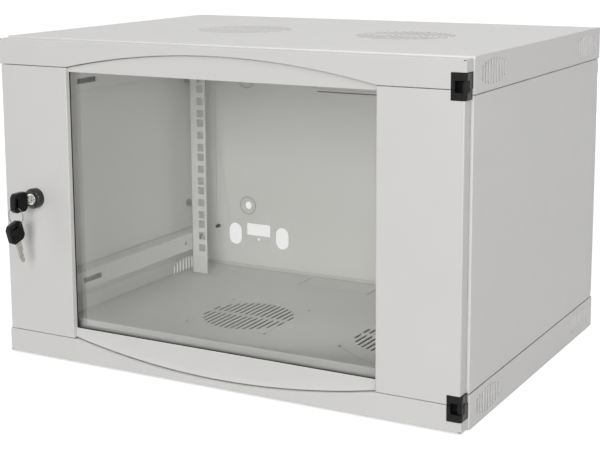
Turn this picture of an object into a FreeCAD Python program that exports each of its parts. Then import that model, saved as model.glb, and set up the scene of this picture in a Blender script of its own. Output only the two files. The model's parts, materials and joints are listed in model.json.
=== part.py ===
import FreeCAD, Part
import math
import os

import Sketcher
from FreeCAD import Placement, Rotation, Vector

# Wall mount network cabinet, 6 units high, with a glazed door between arched rails.
# Millimetres. +Z is up, +X is to the right seen from the front and the front looks along -Y.
# The origin is the centre of the four wall fixing holes, in the plane that meets the wall.

SIZES = {
    # The rack sets the width and height of the cabinet round it.
    "rack_opening": 450,
    "rail_width": 21.9,
    "bar_reach": 23.1,
    "unit_pitch": 44.45,
    "height_margin": 83.3,
    "cab_depth": 400,
    "sheet_gauge": 1.2,
    # Wall fixings: four holes in pads pressed out of the rear panel.
    "fixing_lift": 8,
    "fixing_span": 400,
    "fixing_rise": 170,
    "fixing_bore": 10,
    "pad_bore": 27,
    "pad_depth": 1.5,
    # Top and bottom panels: folded trays with the side panels lapped between them.
    "tray_wall": 34.5,
    "tray_edge": 3,
    "panel_setback": 0.6,
    "panel_gap": 1,
    "lap_rise": 9.5,
    "lap_gap": 1.6,
    "lap_end": 10,
    "lip_rise": 45,
    "lip_margin": 13.5,
    "lip_hem": 5.8,
    "hem_margin": 33,
    "floor_lift": 12,
    "rim_width": 12,
    "rear_curb": 17,
    # Vents over the two fan positions and in the tray walls.
    "vent_bore": 108,
    "vent_web": 6,
    "vent_pitch": 7.2,
    "vent_slot": 3.2,
    "vent_spacing": 200,
    "vent_offset": 17,
    "vent_advance": 4.25,
    "fan_spacing": 105,
    "fan_bore": 4.5,
    "wall_vent_length": 24,
    "wall_vent_pitch": 7,
    "wall_vent_slot": 2.6,
    "wall_vent_inset": 48,
    "wall_vent_drop": 17,
    # Cable entries.
    "knockout_half": 99,
    "knockout_deep": 38,
    "knockout_edge": 9,
    "knockout_slit": 1.2,
    "knockout_tab": 5,
    "crease_depth": 0.4,
    "rear_knockout_drop": 93,
    "rear_knockout_rise": 36,
    "entry_width": 19.2,
    "entry_rise": 29,
    "entry_pitch": 72,
    "entry_inset": 86,
    "entry_level": 58,
    "window_width": 35.6,
    "window_rise": 16,
    "window_level": 66,
    "tie_bore": 4,
    "tie_level": 53,
    # Side panels.
    "side_corner": 9,
    "side_front_flange": 12,
    "side_rear_flange": 19.2,
    # Front frame and door.
    "frame_depth": 16,
    "frame_inset": 1.5,
    "seam_low": 27,
    "seam_high": 28.8,
    "seam_gap": 0.6,
    "arch_rise": 19,
    "stile_width": 90,
    "post_flange": 30.2,
    "post_web": 26,
    "door_inset": 3,
    "door_depth": 14,
    "door_edge": 1,
    "pane_recess": 5,
    "pane_low": 38,
    "pane_high": 34.2,
    "gasket_width": 8,
    "gasket_gauge": 1.8,
    "pane_gauge": 4,
    "pane_margin": 31,
    "retainer_lap": 20,
    "retainer_gap": 3.3,
    # Corner hinges.
    "hinge_inset": 1.5,
    "hinge_width": 14.8,
    "hinge_block_rise": 15.2,
    "hinge_leaf_rise": 9,
    "hinge_leaf_recess": 2.2,
    "hinge_proud": 0.4,
    "hinge_axis_in": 4.5,
    "hinge_axis_back": 4,
    "hinge_pocket_rise": 8.2,
    "hinge_pocket_edge": 3.6,
    "hinge_corner": 3.5,
    "knuckle_bore": 6,
    "pin_bore": 2.5,
    "pin_play": 0.05,
    "pin_end": 3,
    "leaf_tab": 22,
    "leaf_tab_gauge": 3,
    "run_gap": 0.3,
    # Depth bars and rack rails.
    "bar_gauge": 1.5,
    "bar_height": 22,
    "bar_level": 58,
    "bar_front": 46,
    "bar_rear": 34,
    "bar_slot": 34,
    "bar_slot_rise": 6,
    "bar_slot_setback": 121,
    "bar_bore": 4,
    "bar_bore_rear": 82,
    "rail_web": 30,
    "rail_rear": 66,
    "rail_foot": 16,
    "rail_end": 27.6,
    "hole_inset": 7.55,
    "hole_first": 6.35,
    "hole_step": 15.875,
    "hole_side": 9.5,
    "bolt_bore": 6,
    "bolt_across": 10,
    "bolt_head": 4,
    "bolt_length": 16,
    "bolt_back": 16,
    "bolt_play": 0.2,
    "nut_rise": 5,
    # Studs on the side panels and plastic rivets on the rear panel.
    "stud_bore": 5,
    "stud_length": 9,
    "stud_low": 103,
    "stud_high": 82,
    "stud_rear": 43,
    "rivet_inset": 24.2,
    "rivet_level": 66,
    "rivet_head": 4.6,
    "rivet_neck": 2.6,
    "rivet_length": 7,
    # Cam lock, keys and ring.
    "lock_shift": 0.5,
    "lock_lift": 3,
    "lock_clearance": 2.6,
    "lock_face": 22,
    "lock_proud": 9,
    "lock_barrel": 18.8,
    "lock_edge": 1.6,
    "plug_bore": 12,
    "plug_play": 0.05,
    "lock_nut_across": 25,
    "lock_nut_rise": 4,
    "cam_gauge": 2,
    "cam_gap": 0.6,
    "cam_width": 14,
    "cam_reach": 24,
    "cam_square": 6,
    "blade_gauge": 2,
    "blade_width": 7.6,
    "blade_length": 25,
    "blade_free": 7.8,
    "key_play": 0.2,
    "bow_gauge": 6,
    "bow_width": 21,
    "bow_length": 22,
    "bow_corner": 3.5,
    "bow_slot": 11,
    "bow_slot_width": 3.4,
    "bow_slot_edge": 5,
    "bow_rib": 1.4,
    "bow_rib_pitch": 2.8,
    "bow_rib_depth": 0.5,
    "ring_radius": 9.8,
    "ring_wire": 1.2,
    "spare_tilt": 18,
}
VENT_SLOTS = 15
WALL_VENT_SLOTS = 9
RACK_UNITS = 6
BOW_RIBS = 4

doc = FreeCAD.newDocument("wall_cabinet")
sheet = doc.addObject("Spreadsheet::Sheet", "Sizes")
for row, (alias, number) in enumerate(SIZES.items(), start=1):
    sheet.set(f"A{row}", alias)
    sheet.set(f"B{row}", str(number))
    sheet.setAlias(f"B{row}", alias)
doc.recompute()

nodes = []


# Lengths that know both their value and the formula that ties them to the sheet.


class Length:
    """A size in millimetres with the expression that works it out from the sheet."""

    def __init__(self, value, formula):
        self.value = float(value)
        self.formula = formula

    def __add__(self, other):
        other = length(other)
        return Length(self.value + other.value, f"({self.formula} + {other.formula})")

    def __sub__(self, other):
        other = length(other)
        return Length(self.value - other.value, f"({self.formula} - {other.formula})")

    def __mul__(self, other):
        other = length(other)
        return Length(self.value * other.value, f"({self.formula} * {other.formula})")

    def __truediv__(self, other):
        other = length(other)
        return Length(self.value / other.value, f"({self.formula} / {other.formula})")

    def __radd__(self, other):
        return length(other) + self

    def __rsub__(self, other):
        return length(other) - self

    def __rmul__(self, other):
        return length(other) * self

    def __neg__(self):
        return length(0) - self


def length(number):
    """A plain number as a Length, or a Length as it is."""
    return number if isinstance(number, Length) else Length(number, repr(float(number)))


def size(alias):
    """The Length of one cell of the sheet."""
    return Length(sheet.get(alias), f"Sizes.{alias}")


def root(span):
    """Square root of a Length."""
    return Length(math.sqrt(span.value), f"sqrt({span.formula})")


# Places, all from the outside of the cabinet.

GAUGE = size("sheet_gauge")
BAR_IN = size("bar_reach")
HALF = size("rack_opening") / 2 + size("rail_width") + BAR_IN
HEIGHT = size("unit_pitch") * RACK_UNITS + size("height_margin")
FIXING_LEVEL = HEIGHT / 2 + size("fixing_lift")
FRONT = -size("cab_depth")
BODY = FRONT + size("frame_depth")
BACK = -size("pad_depth")
PANEL_IN = size("panel_setback") + GAUGE
LAP_IN = PANEL_IN + GAUGE
LOW, HIGH = -1, 1
LEFT, RIGHT = -1, 1
SIDES = ((LEFT, "left"), (RIGHT, "right"))
ENDS = ((HIGH, "top"), (LOW, "bottom"))


def up(height):
    """Level of a height above the base."""
    return length(height) - FIXING_LEVEL


def behind(depth):
    """Place of a depth behind the front face."""
    return FRONT + depth


def ordered(first, second):
    """The two ends of a span, lower one first."""
    return (first, second) if first.value < second.value else (second, first)


def across(side, outer, inner):
    """Span between two distances in from one side of the cabinet."""
    return ordered((HALF - outer) * side, (HALF - inner) * side)


def level(end, outer, inner):
    """Span between two distances in from the top or the base."""
    if end == LOW:
        return ordered(up(outer), up(inner))
    return ordered(up(HEIGHT - outer), up(HEIGHT - inner))


def about(centre, extent):
    """Span of an extent about its centre."""
    return (centre - length(extent) / 2, centre + length(extent) / 2)


# Part primitives and booleans, bound to the sheet.

TURNS = {
    "X": Rotation(Vector(0, 1, 0), 90),
    "Y": Rotation(Vector(1, 0, 0), -90),
    "Z": Rotation(),
}


def place(solid, x, y, z):
    """Tie the place of a solid to the sheet."""
    for axis, coordinate in zip("xyz", (x, y, z)):
        solid.setExpression(f"Placement.Base.{axis}", length(coordinate).formula)


def block(x, y, z):
    """A box between three spans."""
    solid = doc.addObject("Part::Box", "Block")
    for name, (start, end) in zip(("Length", "Width", "Height"), (x, y, z)):
        solid.setExpression(name, (end - start).formula)
    place(solid, x[0], y[0], z[0])
    return solid


def rod(axis, x, y, z, bore, span):
    """A cylinder of a diameter, from a point along an axis."""
    solid = doc.addObject("Part::Cylinder", "Rod")
    solid.setExpression("Radius", (length(bore) / 2).formula)
    solid.setExpression("Height", length(span).formula)
    solid.Placement = Placement(Vector(), TURNS[axis])
    place(solid, x, y, z)
    return solid


def hexagon(axis, x, y, z, across_flats, span):
    """A hexagonal prism, from a point along an axis."""
    solid = doc.addObject("Part::Prism", "Hexagon")
    solid.Polygon = 6
    solid.setExpression("Circumradius", (length(across_flats) / math.sqrt(3)).formula)
    solid.setExpression("Height", length(span).formula)
    solid.Placement = Placement(Vector(), TURNS[axis])
    place(solid, x, y, z)
    return solid


def fuse(*solids):
    """Join solids and clean up the faces between them."""
    joined = doc.addObject("Part::MultiFuse", "Joined")
    joined.Shapes = list(solids)
    joined.Refine = True
    return joined


def cut(base, *tools):
    """Take tools away from a base."""
    tool = tools[0]
    if len(tools) > 1:
        tool = doc.addObject("Part::Compound", "Tools")
        tool.Links = list(tools)
    remains = doc.addObject("Part::Cut", "Cut")
    remains.Base = base
    remains.Tool = tool
    return remains


def fillet(base, radius, wanted):
    """Round the edges of a solid whose middle points pass a test."""
    doc.recompute()
    rounded = doc.addObject("Part::Fillet", "Rounded")
    rounded.Base = base
    rounded.Edges = [
        (number, radius.value, radius.value)
        for number, edge in enumerate(base.Shape.Edges, start=1)
        if wanted(edge.CenterOfMass, edge)
    ]
    return rounded


def near(number, span):
    """Whether a number lies at a Length."""
    return abs(number - span.value) < 0.01


def node(name, solid):
    """Name a finished sub-part and keep it for the hand-in."""
    solid.Label = name
    nodes.append(solid)
    return solid


# PartDesign bodies.


def new_body(name):
    """A PartDesign body for one sub-part."""
    body = doc.addObject("PartDesign::Body", name)
    return node(name, body)


def sketch_on(body, role, offset=0):
    """A sketch on one of a body's own origin planes, moved along its normal."""
    plane = next(item for item in body.Origin.OriginFeatures if item.Role == role)
    sketch = body.newObject("Sketcher::SketchObject", "Sketch")
    sketch.AttachmentSupport = [(plane, "")]
    sketch.MapMode = "FlatFace"
    sketch.setExpression("AttachmentOffset.Base.z", length(offset).formula)
    return sketch


def bind(sketch, kind, geometry, point, distance):
    """Hold a sketch point at a distance from the sketch's origin."""
    sketch.addConstraint(Sketcher.Constraint(kind, -1, 1, geometry, point, distance.value))
    sketch.setExpression(f"Constraints[{sketch.ConstraintCount - 1}]", distance.formula)


def outline(sketch, corners, arch=None):
    """A closed line through corners, with an arch instead of one of its lines.

    arch is the number of the line, the arch's middle point and its radius.
    """
    corners = [tuple(length(item) for item in corner) for corner in corners]
    points = [Vector(x.value, y.value, 0) for x, y in corners]
    first = sketch.GeometryCount
    starts, ends = [], []
    for number, point in enumerate(points):
        following = points[(number + 1) % len(points)]
        if arch and number == arch[0]:
            middle = Vector(arch[1][0].value, arch[1][1].value, 0)
            arc = Part.Arc(point, middle, following)
            index = sketch.addGeometry(arc, False)
            forward = (middle - point).cross(following - middle).z > 0
            starts.append((index, 1 if forward else 2))
            ends.append((index, 2 if forward else 1))
            sketch.addConstraint(Sketcher.Constraint("Radius", index, arch[2].value))
            radius_name = f"Constraints[{sketch.ConstraintCount - 1}]"
            sketch.setExpression(radius_name, arch[2].formula)
        else:
            index = sketch.addGeometry(Part.LineSegment(point, following), False)
            starts.append((index, 1))
            ends.append((index, 2))
    for number in range(len(points)):
        start = starts[(number + 1) % len(points)]
        sketch.addConstraint(Sketcher.Constraint("Coincident", *ends[number], *start))
    for (x, y), start in zip(corners, starts):
        bind(sketch, "DistanceX", *start, x)
        bind(sketch, "DistanceY", *start, y)
    return first


def rectangle(sketch, x, y):
    """A rectangle between two spans."""
    outline(sketch, ((x[0], y[0]), (x[1], y[0]), (x[1], y[1]), (x[0], y[1])))


def circle(sketch, x, y, bore):
    """A circle of a diameter."""
    bore = length(bore)
    centre = Vector(length(x).value, length(y).value, 0)
    index = sketch.addGeometry(Part.Circle(centre, Vector(0, 0, 1), bore.value / 2), False)
    bind(sketch, "DistanceX", index, 3, length(x))
    bind(sketch, "DistanceY", index, 3, length(y))
    sketch.addConstraint(Sketcher.Constraint("Diameter", index, bore.value))
    sketch.setExpression(f"Constraints[{sketch.ConstraintCount - 1}]", bore.formula)


def pad(body, sketch, span, backward=False):
    """Extrude a sketch."""
    feature = body.newObject("PartDesign::Pad", "Pad")
    feature.Profile = sketch
    feature.setExpression("Length", length(span).formula)
    feature.Reversed = backward
    return feature


def pocket(body, sketch, span, backward=False):
    """Cut an extruded sketch out of a body."""
    feature = body.newObject("PartDesign::Pocket", "Pocket")
    feature.Profile = sketch
    feature.setExpression("Length", length(span).formula)
    feature.Reversed = backward
    return feature


def revolve(body, sketch):
    """Turn a sketch about its own vertical axis."""
    feature = body.newObject("PartDesign::Revolution", "Revolution")
    feature.Profile = sketch
    feature.ReferenceAxis = (sketch, ["V_Axis"])
    feature.Angle = 360
    return feature


# Vents and fan holes, shared by the top and bottom panels.


def fan_vents(low, high):
    """Round vents of slots in two rows, with four fan screw holes round each."""
    tools = []
    radius = size("vent_bore") / 2
    spread = size("fan_spacing") / 2
    middle = (BODY + BACK) / 2 - size("vent_advance")
    for side in (LEFT, RIGHT):
        centre = size("vent_offset") + size("vent_spacing") / 2 * side
        for number in range(VENT_SLOTS):
            offset = size("vent_pitch") * (number - (VENT_SLOTS - 1) / 2)
            chord = root(radius * radius - offset * offset)
            slot = about(centre + offset, size("vent_slot"))
            for row in (LEFT, RIGHT):
                ends = ordered(middle + size("vent_web") / 2 * row, middle + chord * row)
                tools.append(block(slot, ends, (low, high)))
        for dx in (LEFT, RIGHT):
            for dy in (LEFT, RIGHT):
                x, y = centre + spread * dx, middle + spread * dy
                tools.append(rod("Z", x, y, low, size("fan_bore"), high - low))
    return tools


def wall_vents(end):
    """Groups of upright slots near both ends of a tray's side walls."""
    tools = []
    centre = up(size("wall_vent_drop"))
    if end == HIGH:
        centre = up(HEIGHT - size("wall_vent_drop"))
    half_count = (WALL_VENT_SLOTS - 1) / 2
    for side in (LEFT, RIGHT):
        for middle in (BODY + size("wall_vent_inset"), BACK - size("wall_vent_inset")):
            for number in range(WALL_VENT_SLOTS):
                shift = number - half_count
                share = math.sqrt(1 - (shift / (half_count + 1)) ** 2)
                tools.append(
                    block(
                        across(side, -GAUGE, GAUGE),
                        about(middle + size("wall_vent_pitch") * shift, size("wall_vent_slot")),
                        about(centre, size("wall_vent_length") * share),
                    )
                )
    return tools


def tray_laps(end):
    """Steps in the tray walls that the side panels lap over."""
    wall, margin = size("tray_wall"), GAUGE * 2 + size("post_web") + size("lap_gap")
    run = (BODY + margin, BACK - size("lap_end"))
    parts = []
    for side in (LEFT, RIGHT):
        parts.append(block(across(side, 0, LAP_IN), run, level(end, wall - GAUGE, wall)))
        rise = level(end, wall, wall + size("lap_rise"))
        parts.append(block(across(side, PANEL_IN, LAP_IN), run, rise))
    return parts


def front_hem(end, edge):
    """Hem turned in along the free edge of a tray's front wall."""
    hem = HALF - size("hem_margin")
    run = (BODY + GAUGE, BODY + GAUGE + size("lip_hem"))
    return block((-hem, hem), run, level(end, edge - GAUGE, edge))


def floor_lip():
    """Upright lip that carries the bottom tray's front wall up to its hem."""
    lip, reach = size("lip_rise"), HALF - size("lip_margin")
    upright = block((-reach, reach), (BODY, BODY + GAUGE), level(LOW, size("tray_wall"), lip))
    return [upright, front_hem(LOW, lip)]


# Bottom panel: the floor is lifted clear of a folded rim that the cabinet stands on.

FLOOR = size("floor_lift") + GAUGE
REAR_INSIDE = BACK - GAUGE
CURB = (REAR_INSIDE - GAUGE, REAR_INSIDE)


def build_bottom_panel():
    """Folded bottom tray."""
    wall = level(LOW, 0, size("tray_wall"))
    rim, base = size("rim_width"), level(LOW, 0, GAUGE)
    inside = (-HALF + GAUGE, HALF - GAUGE)
    parts = [
        block((-HALF, HALF), (BODY, BODY + GAUGE), wall),
        block(inside, (BODY + GAUGE, REAR_INSIDE - GAUGE), level(LOW, size("floor_lift"), FLOOR)),
        block(inside, CURB, level(LOW, 0, size("rear_curb"))),
        block((-HALF, HALF), (BODY, BODY + rim), base),
        block((-HALF, HALF), (REAR_INSIDE - rim, REAR_INSIDE), base),
    ]
    for side in (LEFT, RIGHT):
        parts.append(block(across(side, 0, GAUGE), (BODY, BACK), wall))
        parts.append(block(across(side, 0, rim), (BODY, REAR_INSIDE), base))
    folded = fuse(*parts, *tray_laps(LOW), *floor_lip())
    tools = fan_vents(up(0), up(FLOOR + GAUGE)) + wall_vents(LOW)
    slit = size("knockout_slit")
    rear = REAR_INSIDE - size("knockout_edge")
    run = (rear - size("knockout_deep"), rear)
    for side in (LEFT, 0, RIGHT):
        slot = about(size("knockout_half") * side, slit)
        tools.append(block(slot, run, level(LOW, size("floor_lift") - GAUGE, FLOOR + GAUGE)))
    crease = (run[0] - slit, run[0])
    for side in (LEFT, RIGHT):
        half = about(size("knockout_half") / 2 * side, size("knockout_half") - slit * 2)
        tools.append(block(half, crease, level(LOW, FLOOR - size("crease_depth"), FLOOR + GAUGE)))
    node("bottom_panel", cut(folded, *tools))


def build_top_panel():
    """Folded top tray with a rounded front edge."""
    wall, edge = size("tray_wall"), size("tray_edge")
    top = up(HEIGHT)
    whole = block((-HALF, HALF), (BODY, BACK), level(HIGH, 0, wall))
    outer = fillet(whole, edge, lambda mid, _: near(mid.y, BODY) and near(mid.z, top))
    inside = (-HALF + GAUGE, HALF - GAUGE)
    core = block(inside, (BODY + GAUGE, BACK + GAUGE), level(HIGH, GAUGE, wall + GAUGE))
    crown = top - GAUGE
    inner = fillet(
        core, edge - GAUGE, lambda mid, _: near(mid.y, BODY + GAUGE) and near(mid.z, crown)
    )
    curb = block(inside, CURB, level(HIGH, GAUGE, size("rear_curb")))
    folded = fuse(cut(outer, inner), curb, *tray_laps(HIGH), front_hem(HIGH, wall))
    node("top_panel", cut(folded, *fan_vents(crown - GAUGE, top + GAUGE), *wall_vents(HIGH)))


def build_rear_panel():
    """Rear panel with pressed fixing pads, cable entries and a knock-out."""
    rise = (up(GAUGE), up(HEIGHT - GAUGE))
    panel = block((-HALF + GAUGE, HALF - GAUGE), (REAR_INSIDE, BACK), rise)
    pads, tools = [], []
    for x_side in (LEFT, RIGHT):
        for z_side in (LOW, HIGH):
            x = size("fixing_span") / 2 * x_side
            z = size("fixing_rise") / 2 * z_side
            dish = size("pad_bore") - GAUGE * 2
            depth = size("pad_depth") + GAUGE
            pads.append(rod("Y", x, REAR_INSIDE, z, size("pad_bore"), depth))
            tools.append(rod("Y", x, REAR_INSIDE, z, dish, depth - GAUGE))
            tools.append(rod("Y", x, -GAUGE, z, size("fixing_bore"), GAUGE))
    through = (REAR_INSIDE, BACK)
    middle = -HALF + size("entry_inset")
    width, rise = size("entry_width"), size("entry_rise")
    for side in (LEFT, RIGHT):
        x = middle + size("entry_pitch") / 2 * side
        entry = [block(about(x, width), through, about(up(size("entry_level")), rise - width))]
        for end in (LOW, HIGH):
            z = up(size("entry_level")) + (rise - width) / 2 * end
            entry.append(rod("Y", x, REAR_INSIDE, z, width, GAUGE))
        tools.append(fuse(*entry))
    window_z = about(up(size("window_level")), size("window_rise"))
    tools.append(block(about(middle, size("window_width")), through, window_z))
    tools.append(rod("Y", middle, REAR_INSIDE, up(size("tie_level")), size("tie_bore"), GAUGE))
    half, slit, tab = size("knockout_half"), size("knockout_slit"), size("knockout_tab")
    sill = HEIGHT - size("rear_knockout_drop")
    for side in (LEFT, RIGHT):
        upright = (up(sill + tab), up(sill + size("rear_knockout_rise")))
        tools.append(block(about(half * side, slit), through, upright))
        run = about(half / 2 * side, half - tab * 2)
        tools.append(block(run, through, about(up(sill), slit)))
    node("rear_panel", cut(fuse(panel, *pads), *tools))


def build_side_panel(side, name):
    """Flat side panel with folded front and rear edges."""
    ends = size("tray_wall") + size("panel_gap")
    rise = (up(ends), up(HEIGHT - ends))
    outer, corner = size("panel_setback"), size("side_corner")
    plate = block(across(side, outer, PANEL_IN), (BODY, REAR_INSIDE), rise)
    rounded = fillet(
        plate,
        corner,
        lambda mid, _: near(mid.y, REAR_INSIDE) and (near(mid.z, rise[0]) or near(mid.z, rise[1])),
    )
    front_in = outer + size("side_front_flange")
    rear_in = PANEL_IN + size("side_rear_flange")
    front_flange = block(across(side, PANEL_IN, front_in), (BODY, BODY + GAUGE), rise)
    rear_rise = (rise[0] + corner, rise[1] - corner)
    rear_flange = block(across(side, PANEL_IN, rear_in), CURB, rear_rise)
    node(f"side_panel_{name}", fuse(rounded, front_flange, rear_flange))


def build_front_post(side, name):
    """Angle behind a door stile that carries the front frame."""
    rise = (up(FLOOR), up(HEIGHT - size("tray_edge")))
    start = BODY + GAUGE
    flange = block(
        across(side, PANEL_IN, PANEL_IN + size("post_flange")), (start, start + GAUGE), rise
    )
    run = (start + GAUGE, start + GAUGE + size("post_web"))
    web = block(across(side, PANEL_IN, LAP_IN), run, rise)
    node(f"front_post_{name}", fuse(flange, web))


# Front frame: fascias with an arched edge, notched for the corner hinges.

FRAME_HALF = HALF - size("frame_inset")
STILE_IN = size("stile_width")
ARCH_HALF = HALF - STILE_IN
ARCH_RISE = size("arch_rise")
ARCH_RADIUS = (ARCH_HALF * ARCH_HALF + ARCH_RISE * ARCH_RISE) / (ARCH_RISE * 2)
HINGE_IN = size("hinge_inset") + size("hinge_width") + size("run_gap")
HINGE_X = HALF - HINGE_IN
SEAM = {LOW: size("seam_low"), HIGH: size("seam_high")}
DOOR_EDGE = {end: seam + size("seam_gap") for end, seam in SEAM.items()}
HINGE_END = {end: seam - size("hinge_block_rise") for end, seam in SEAM.items()}


def frame_level(end, inner):
    """Level at a distance in from the top or the base."""
    return up(inner) if end == LOW else up(HEIGHT - inner)


def door_rise(margin):
    """Span between two distances inside the lower and upper edges of the door."""
    return (frame_level(LOW, DOOR_EDGE[LOW] + margin), frame_level(HIGH, DOOR_EDGE[HIGH] + margin))


def build_fascia(end, name):
    """Arched fascia with returns to the tray behind it."""
    edge, seam = frame_level(end, size("frame_inset")), frame_level(end, SEAM[end])
    notch = frame_level(end, HINGE_END[end] - size("run_gap"))
    crown = seam + ARCH_RISE * end
    body = new_body(f"{name}_fascia")
    face = sketch_on(body, "XZ_Plane", -FRONT)
    corners = (
        (-FRAME_HALF, seam),
        (-ARCH_HALF, seam),
        (ARCH_HALF, seam),
        (HINGE_X, seam),
        (HINGE_X, notch),
        (FRAME_HALF, notch),
        (FRAME_HALF, edge),
        (-FRAME_HALF, edge),
    )
    outline(face, corners, arch=(1, (length(0), crown), ARCH_RADIUS))
    pad(body, face, GAUGE, backward=True)
    plan = sketch_on(body, "XY_Plane", edge if end == LOW else edge - GAUGE)
    rectangle(plan, (-FRAME_HALF, FRAME_HALF), (FRONT, BODY))
    pad(body, plan, GAUGE)
    for side, inner_level in ((LEFT, seam), (RIGHT, notch)):
        flank = sketch_on(body, "YZ_Plane", (FRAME_HALF - GAUGE / 2) * side - GAUGE / 2)
        rectangle(flank, (FRONT, BODY), ordered(inner_level, edge))
        pad(body, flank, GAUGE)


# Door: two folded stiles, two arched rails set back between them, glass behind.

DOOR_SIDE = size("door_inset")
DOOR_BACK = FRONT + size("door_depth")
RECESS = FRONT + size("pane_recess")
LOCK_X = -HALF + STILE_IN / 2 - size("lock_shift")
LOCK_Z = up(HEIGHT / 2 + size("lock_lift"))


def build_stile(side, name):
    """Folded door stile."""
    rise = door_rise(0)
    parts = [
        block(across(side, DOOR_SIDE, STILE_IN), (FRONT, FRONT + GAUGE), rise),
        block(across(side, DOOR_SIDE, DOOR_SIDE + GAUGE), (FRONT, DOOR_BACK), rise),
        block(across(side, STILE_IN - GAUGE, STILE_IN), (FRONT, RECESS + GAUGE), rise),
    ]
    for end in (LOW, HIGH):
        fold = level(end, DOOR_EDGE[end], DOOR_EDGE[end] + GAUGE)
        parts.append(block(across(side, DOOR_SIDE, STILE_IN), (FRONT, DOOR_BACK), fold))
    folded = fuse(*parts)
    edges = [(HALF - distance) * side for distance in (DOOR_SIDE, STILE_IN)]
    rounded = fillet(
        folded,
        size("door_edge"),
        lambda mid, edge: near(mid.y, FRONT)
        and edge.BoundBox.ZLength > size("tray_wall").value
        and any(near(mid.x, x) for x in edges),
    )
    if side == LEFT:
        hole = rod("Y", LOCK_X, FRONT, LOCK_Z, size("lock_barrel") + size("bolt_play"), GAUGE)
        node(f"door_stile_{name}", cut(rounded, hole))
        return
    notches = []
    for end in (LOW, HIGH):
        inner = HINGE_END[end] + HINGE_RISE + size("run_gap")
        notch = level(end, 0, inner)
        notches.append(block(across(side, 0, HINGE_IN), (FRONT - GAUGE, BODY), notch))
    node(f"door_stile_{name}", cut(rounded, *notches))


def build_door_rail(end, name):
    """Arched rail of the door, set back from the stiles."""
    pane = size("pane_low") if end == LOW else size("pane_high")
    straight, seam = frame_level(end, pane), frame_level(end, DOOR_EDGE[end])
    crown = seam + ARCH_RISE * end
    body = new_body(f"door_rail_{name}")
    face = sketch_on(body, "XZ_Plane", -RECESS)
    corners = (
        (-ARCH_HALF, seam),
        (ARCH_HALF, seam),
        (ARCH_HALF, straight),
        (-ARCH_HALF, straight),
    )
    outline(face, corners, arch=(0, (length(0), crown), ARCH_RADIUS))
    pad(body, face, GAUGE, backward=True)


def build_glazing():
    """Glass, its gasket and the two retainers that clamp it to the stiles."""
    seat = RECESS + GAUGE
    glass_y = (seat + size("gasket_gauge"), seat + size("gasket_gauge") + size("pane_gauge"))
    width = size("gasket_width")
    nut_corner = size("lock_nut_across") / math.sqrt(3)
    leg_in = LOCK_X + HALF + nut_corner + size("lock_clearance")
    lap = STILE_IN - leg_in - GAUGE - size("retainer_gap")
    tall = (up(size("pane_margin")), up(HEIGHT - size("pane_margin")))
    reach = ARCH_HALF + lap
    node("door_glass", block((-reach, reach), glass_y, tall))
    body = new_body("glass_gasket")
    face = sketch_on(body, "XZ_Plane", -seat)
    outer = ARCH_HALF + width
    rectangle(face, (-outer, outer), door_rise(GAUGE))
    opening = (up(size("pane_low")), up(HEIGHT - size("pane_high")))
    rectangle(face, (-ARCH_HALF, ARCH_HALF), opening)
    pad(body, face, size("gasket_gauge"), backward=True)
    clamp = (glass_y[1], glass_y[1] + GAUGE)
    for side, name in SIDES:
        leg = block(across(side, leg_in, leg_in + GAUGE), (FRONT + GAUGE, clamp[1]), tall)
        plate = block(across(side, leg_in, leg_in + GAUGE + size("retainer_lap")), clamp, tall)
        node(f"glass_retainer_{name}", fuse(leg, plate))


# Corner hinges: a block on the frame, a leaf with a knuckle on the door, and a pin.

HINGE_RISE = size("hinge_block_rise") + size("seam_gap") + size("hinge_leaf_rise")
AXIS_X = HALF - size("hinge_axis_in")
AXIS_Y = FRONT + size("hinge_axis_back")


def build_hinge(end, name):
    """One corner hinge."""
    outer, gap = HINGE_END[end], size("run_gap")
    split = SEAM[end] + size("seam_gap") / 2
    proud = FRONT - size("hinge_proud")
    span = across(RIGHT, size("hinge_inset"), size("hinge_inset") + size("hinge_width"))
    block_z = level(end, outer, split - gap)
    pocket_end = split - gap - size("hinge_pocket_rise")
    pocket_x = (span[0] + size("hinge_pocket_edge"), span[1] + GAUGE)
    pocket_y = (proud - GAUGE, AXIS_Y + size("knuckle_bore") / 2 + gap)
    recess_end = split + gap + size("hinge_leaf_recess")
    hollow = block(pocket_x, pocket_y, level(end, pocket_end, split))
    whole = fillet(
        block(span, (proud, BODY), block_z),
        size("hinge_corner"),
        lambda mid, _: near(mid.y, proud) and near(mid.x, span[1]),
    )
    pin = size("pin_bore")
    bore = pin + size("pin_play") * 2
    pin_z = level(end, outer + size("pin_end"), outer + HINGE_RISE - size("pin_end"))
    hole = rod("Z", AXIS_X, AXIS_Y, pin_z[0], bore, pin_z[1] - pin_z[0])
    node(f"hinge_block_{name}", cut(cut(whole, hollow), hole))

    leaf_z = level(end, split + gap, outer + HINGE_RISE)
    leaf = fillet(
        block(span, (proud, DOOR_BACK), leaf_z),
        size("hinge_corner"),
        lambda mid, _: near(mid.y, proud) and near(mid.x, span[1]),
    )
    leaf_hollow = block(pocket_x, pocket_y, level(end, split, recess_end))
    knuckle_z = level(end, pocket_end + gap, recess_end + gap)
    knuckle = rod(
        "Z", AXIS_X, AXIS_Y, knuckle_z[0], size("knuckle_bore"), knuckle_z[1] - knuckle_z[0]
    )
    tab_x = (span[0] - size("leaf_tab"), AXIS_X - size("knuckle_bore") / 2)
    tab_y = (FRONT + GAUGE, FRONT + GAUGE + size("leaf_tab_gauge"))
    tab_z = level(end, outer + HINGE_RISE, outer + HINGE_RISE + size("leaf_tab"))
    tab = block(tab_x, tab_y, tab_z)
    second_hole = rod("Z", AXIS_X, AXIS_Y, pin_z[0], bore, pin_z[1] - pin_z[0])
    node(f"hinge_leaf_{name}", cut(fuse(cut(leaf, leaf_hollow), knuckle, tab), second_hole))
    node(f"hinge_pin_{name}", rod("Z", AXIS_X, AXIS_Y, pin_z[0], pin, pin_z[1] - pin_z[0]))


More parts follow.
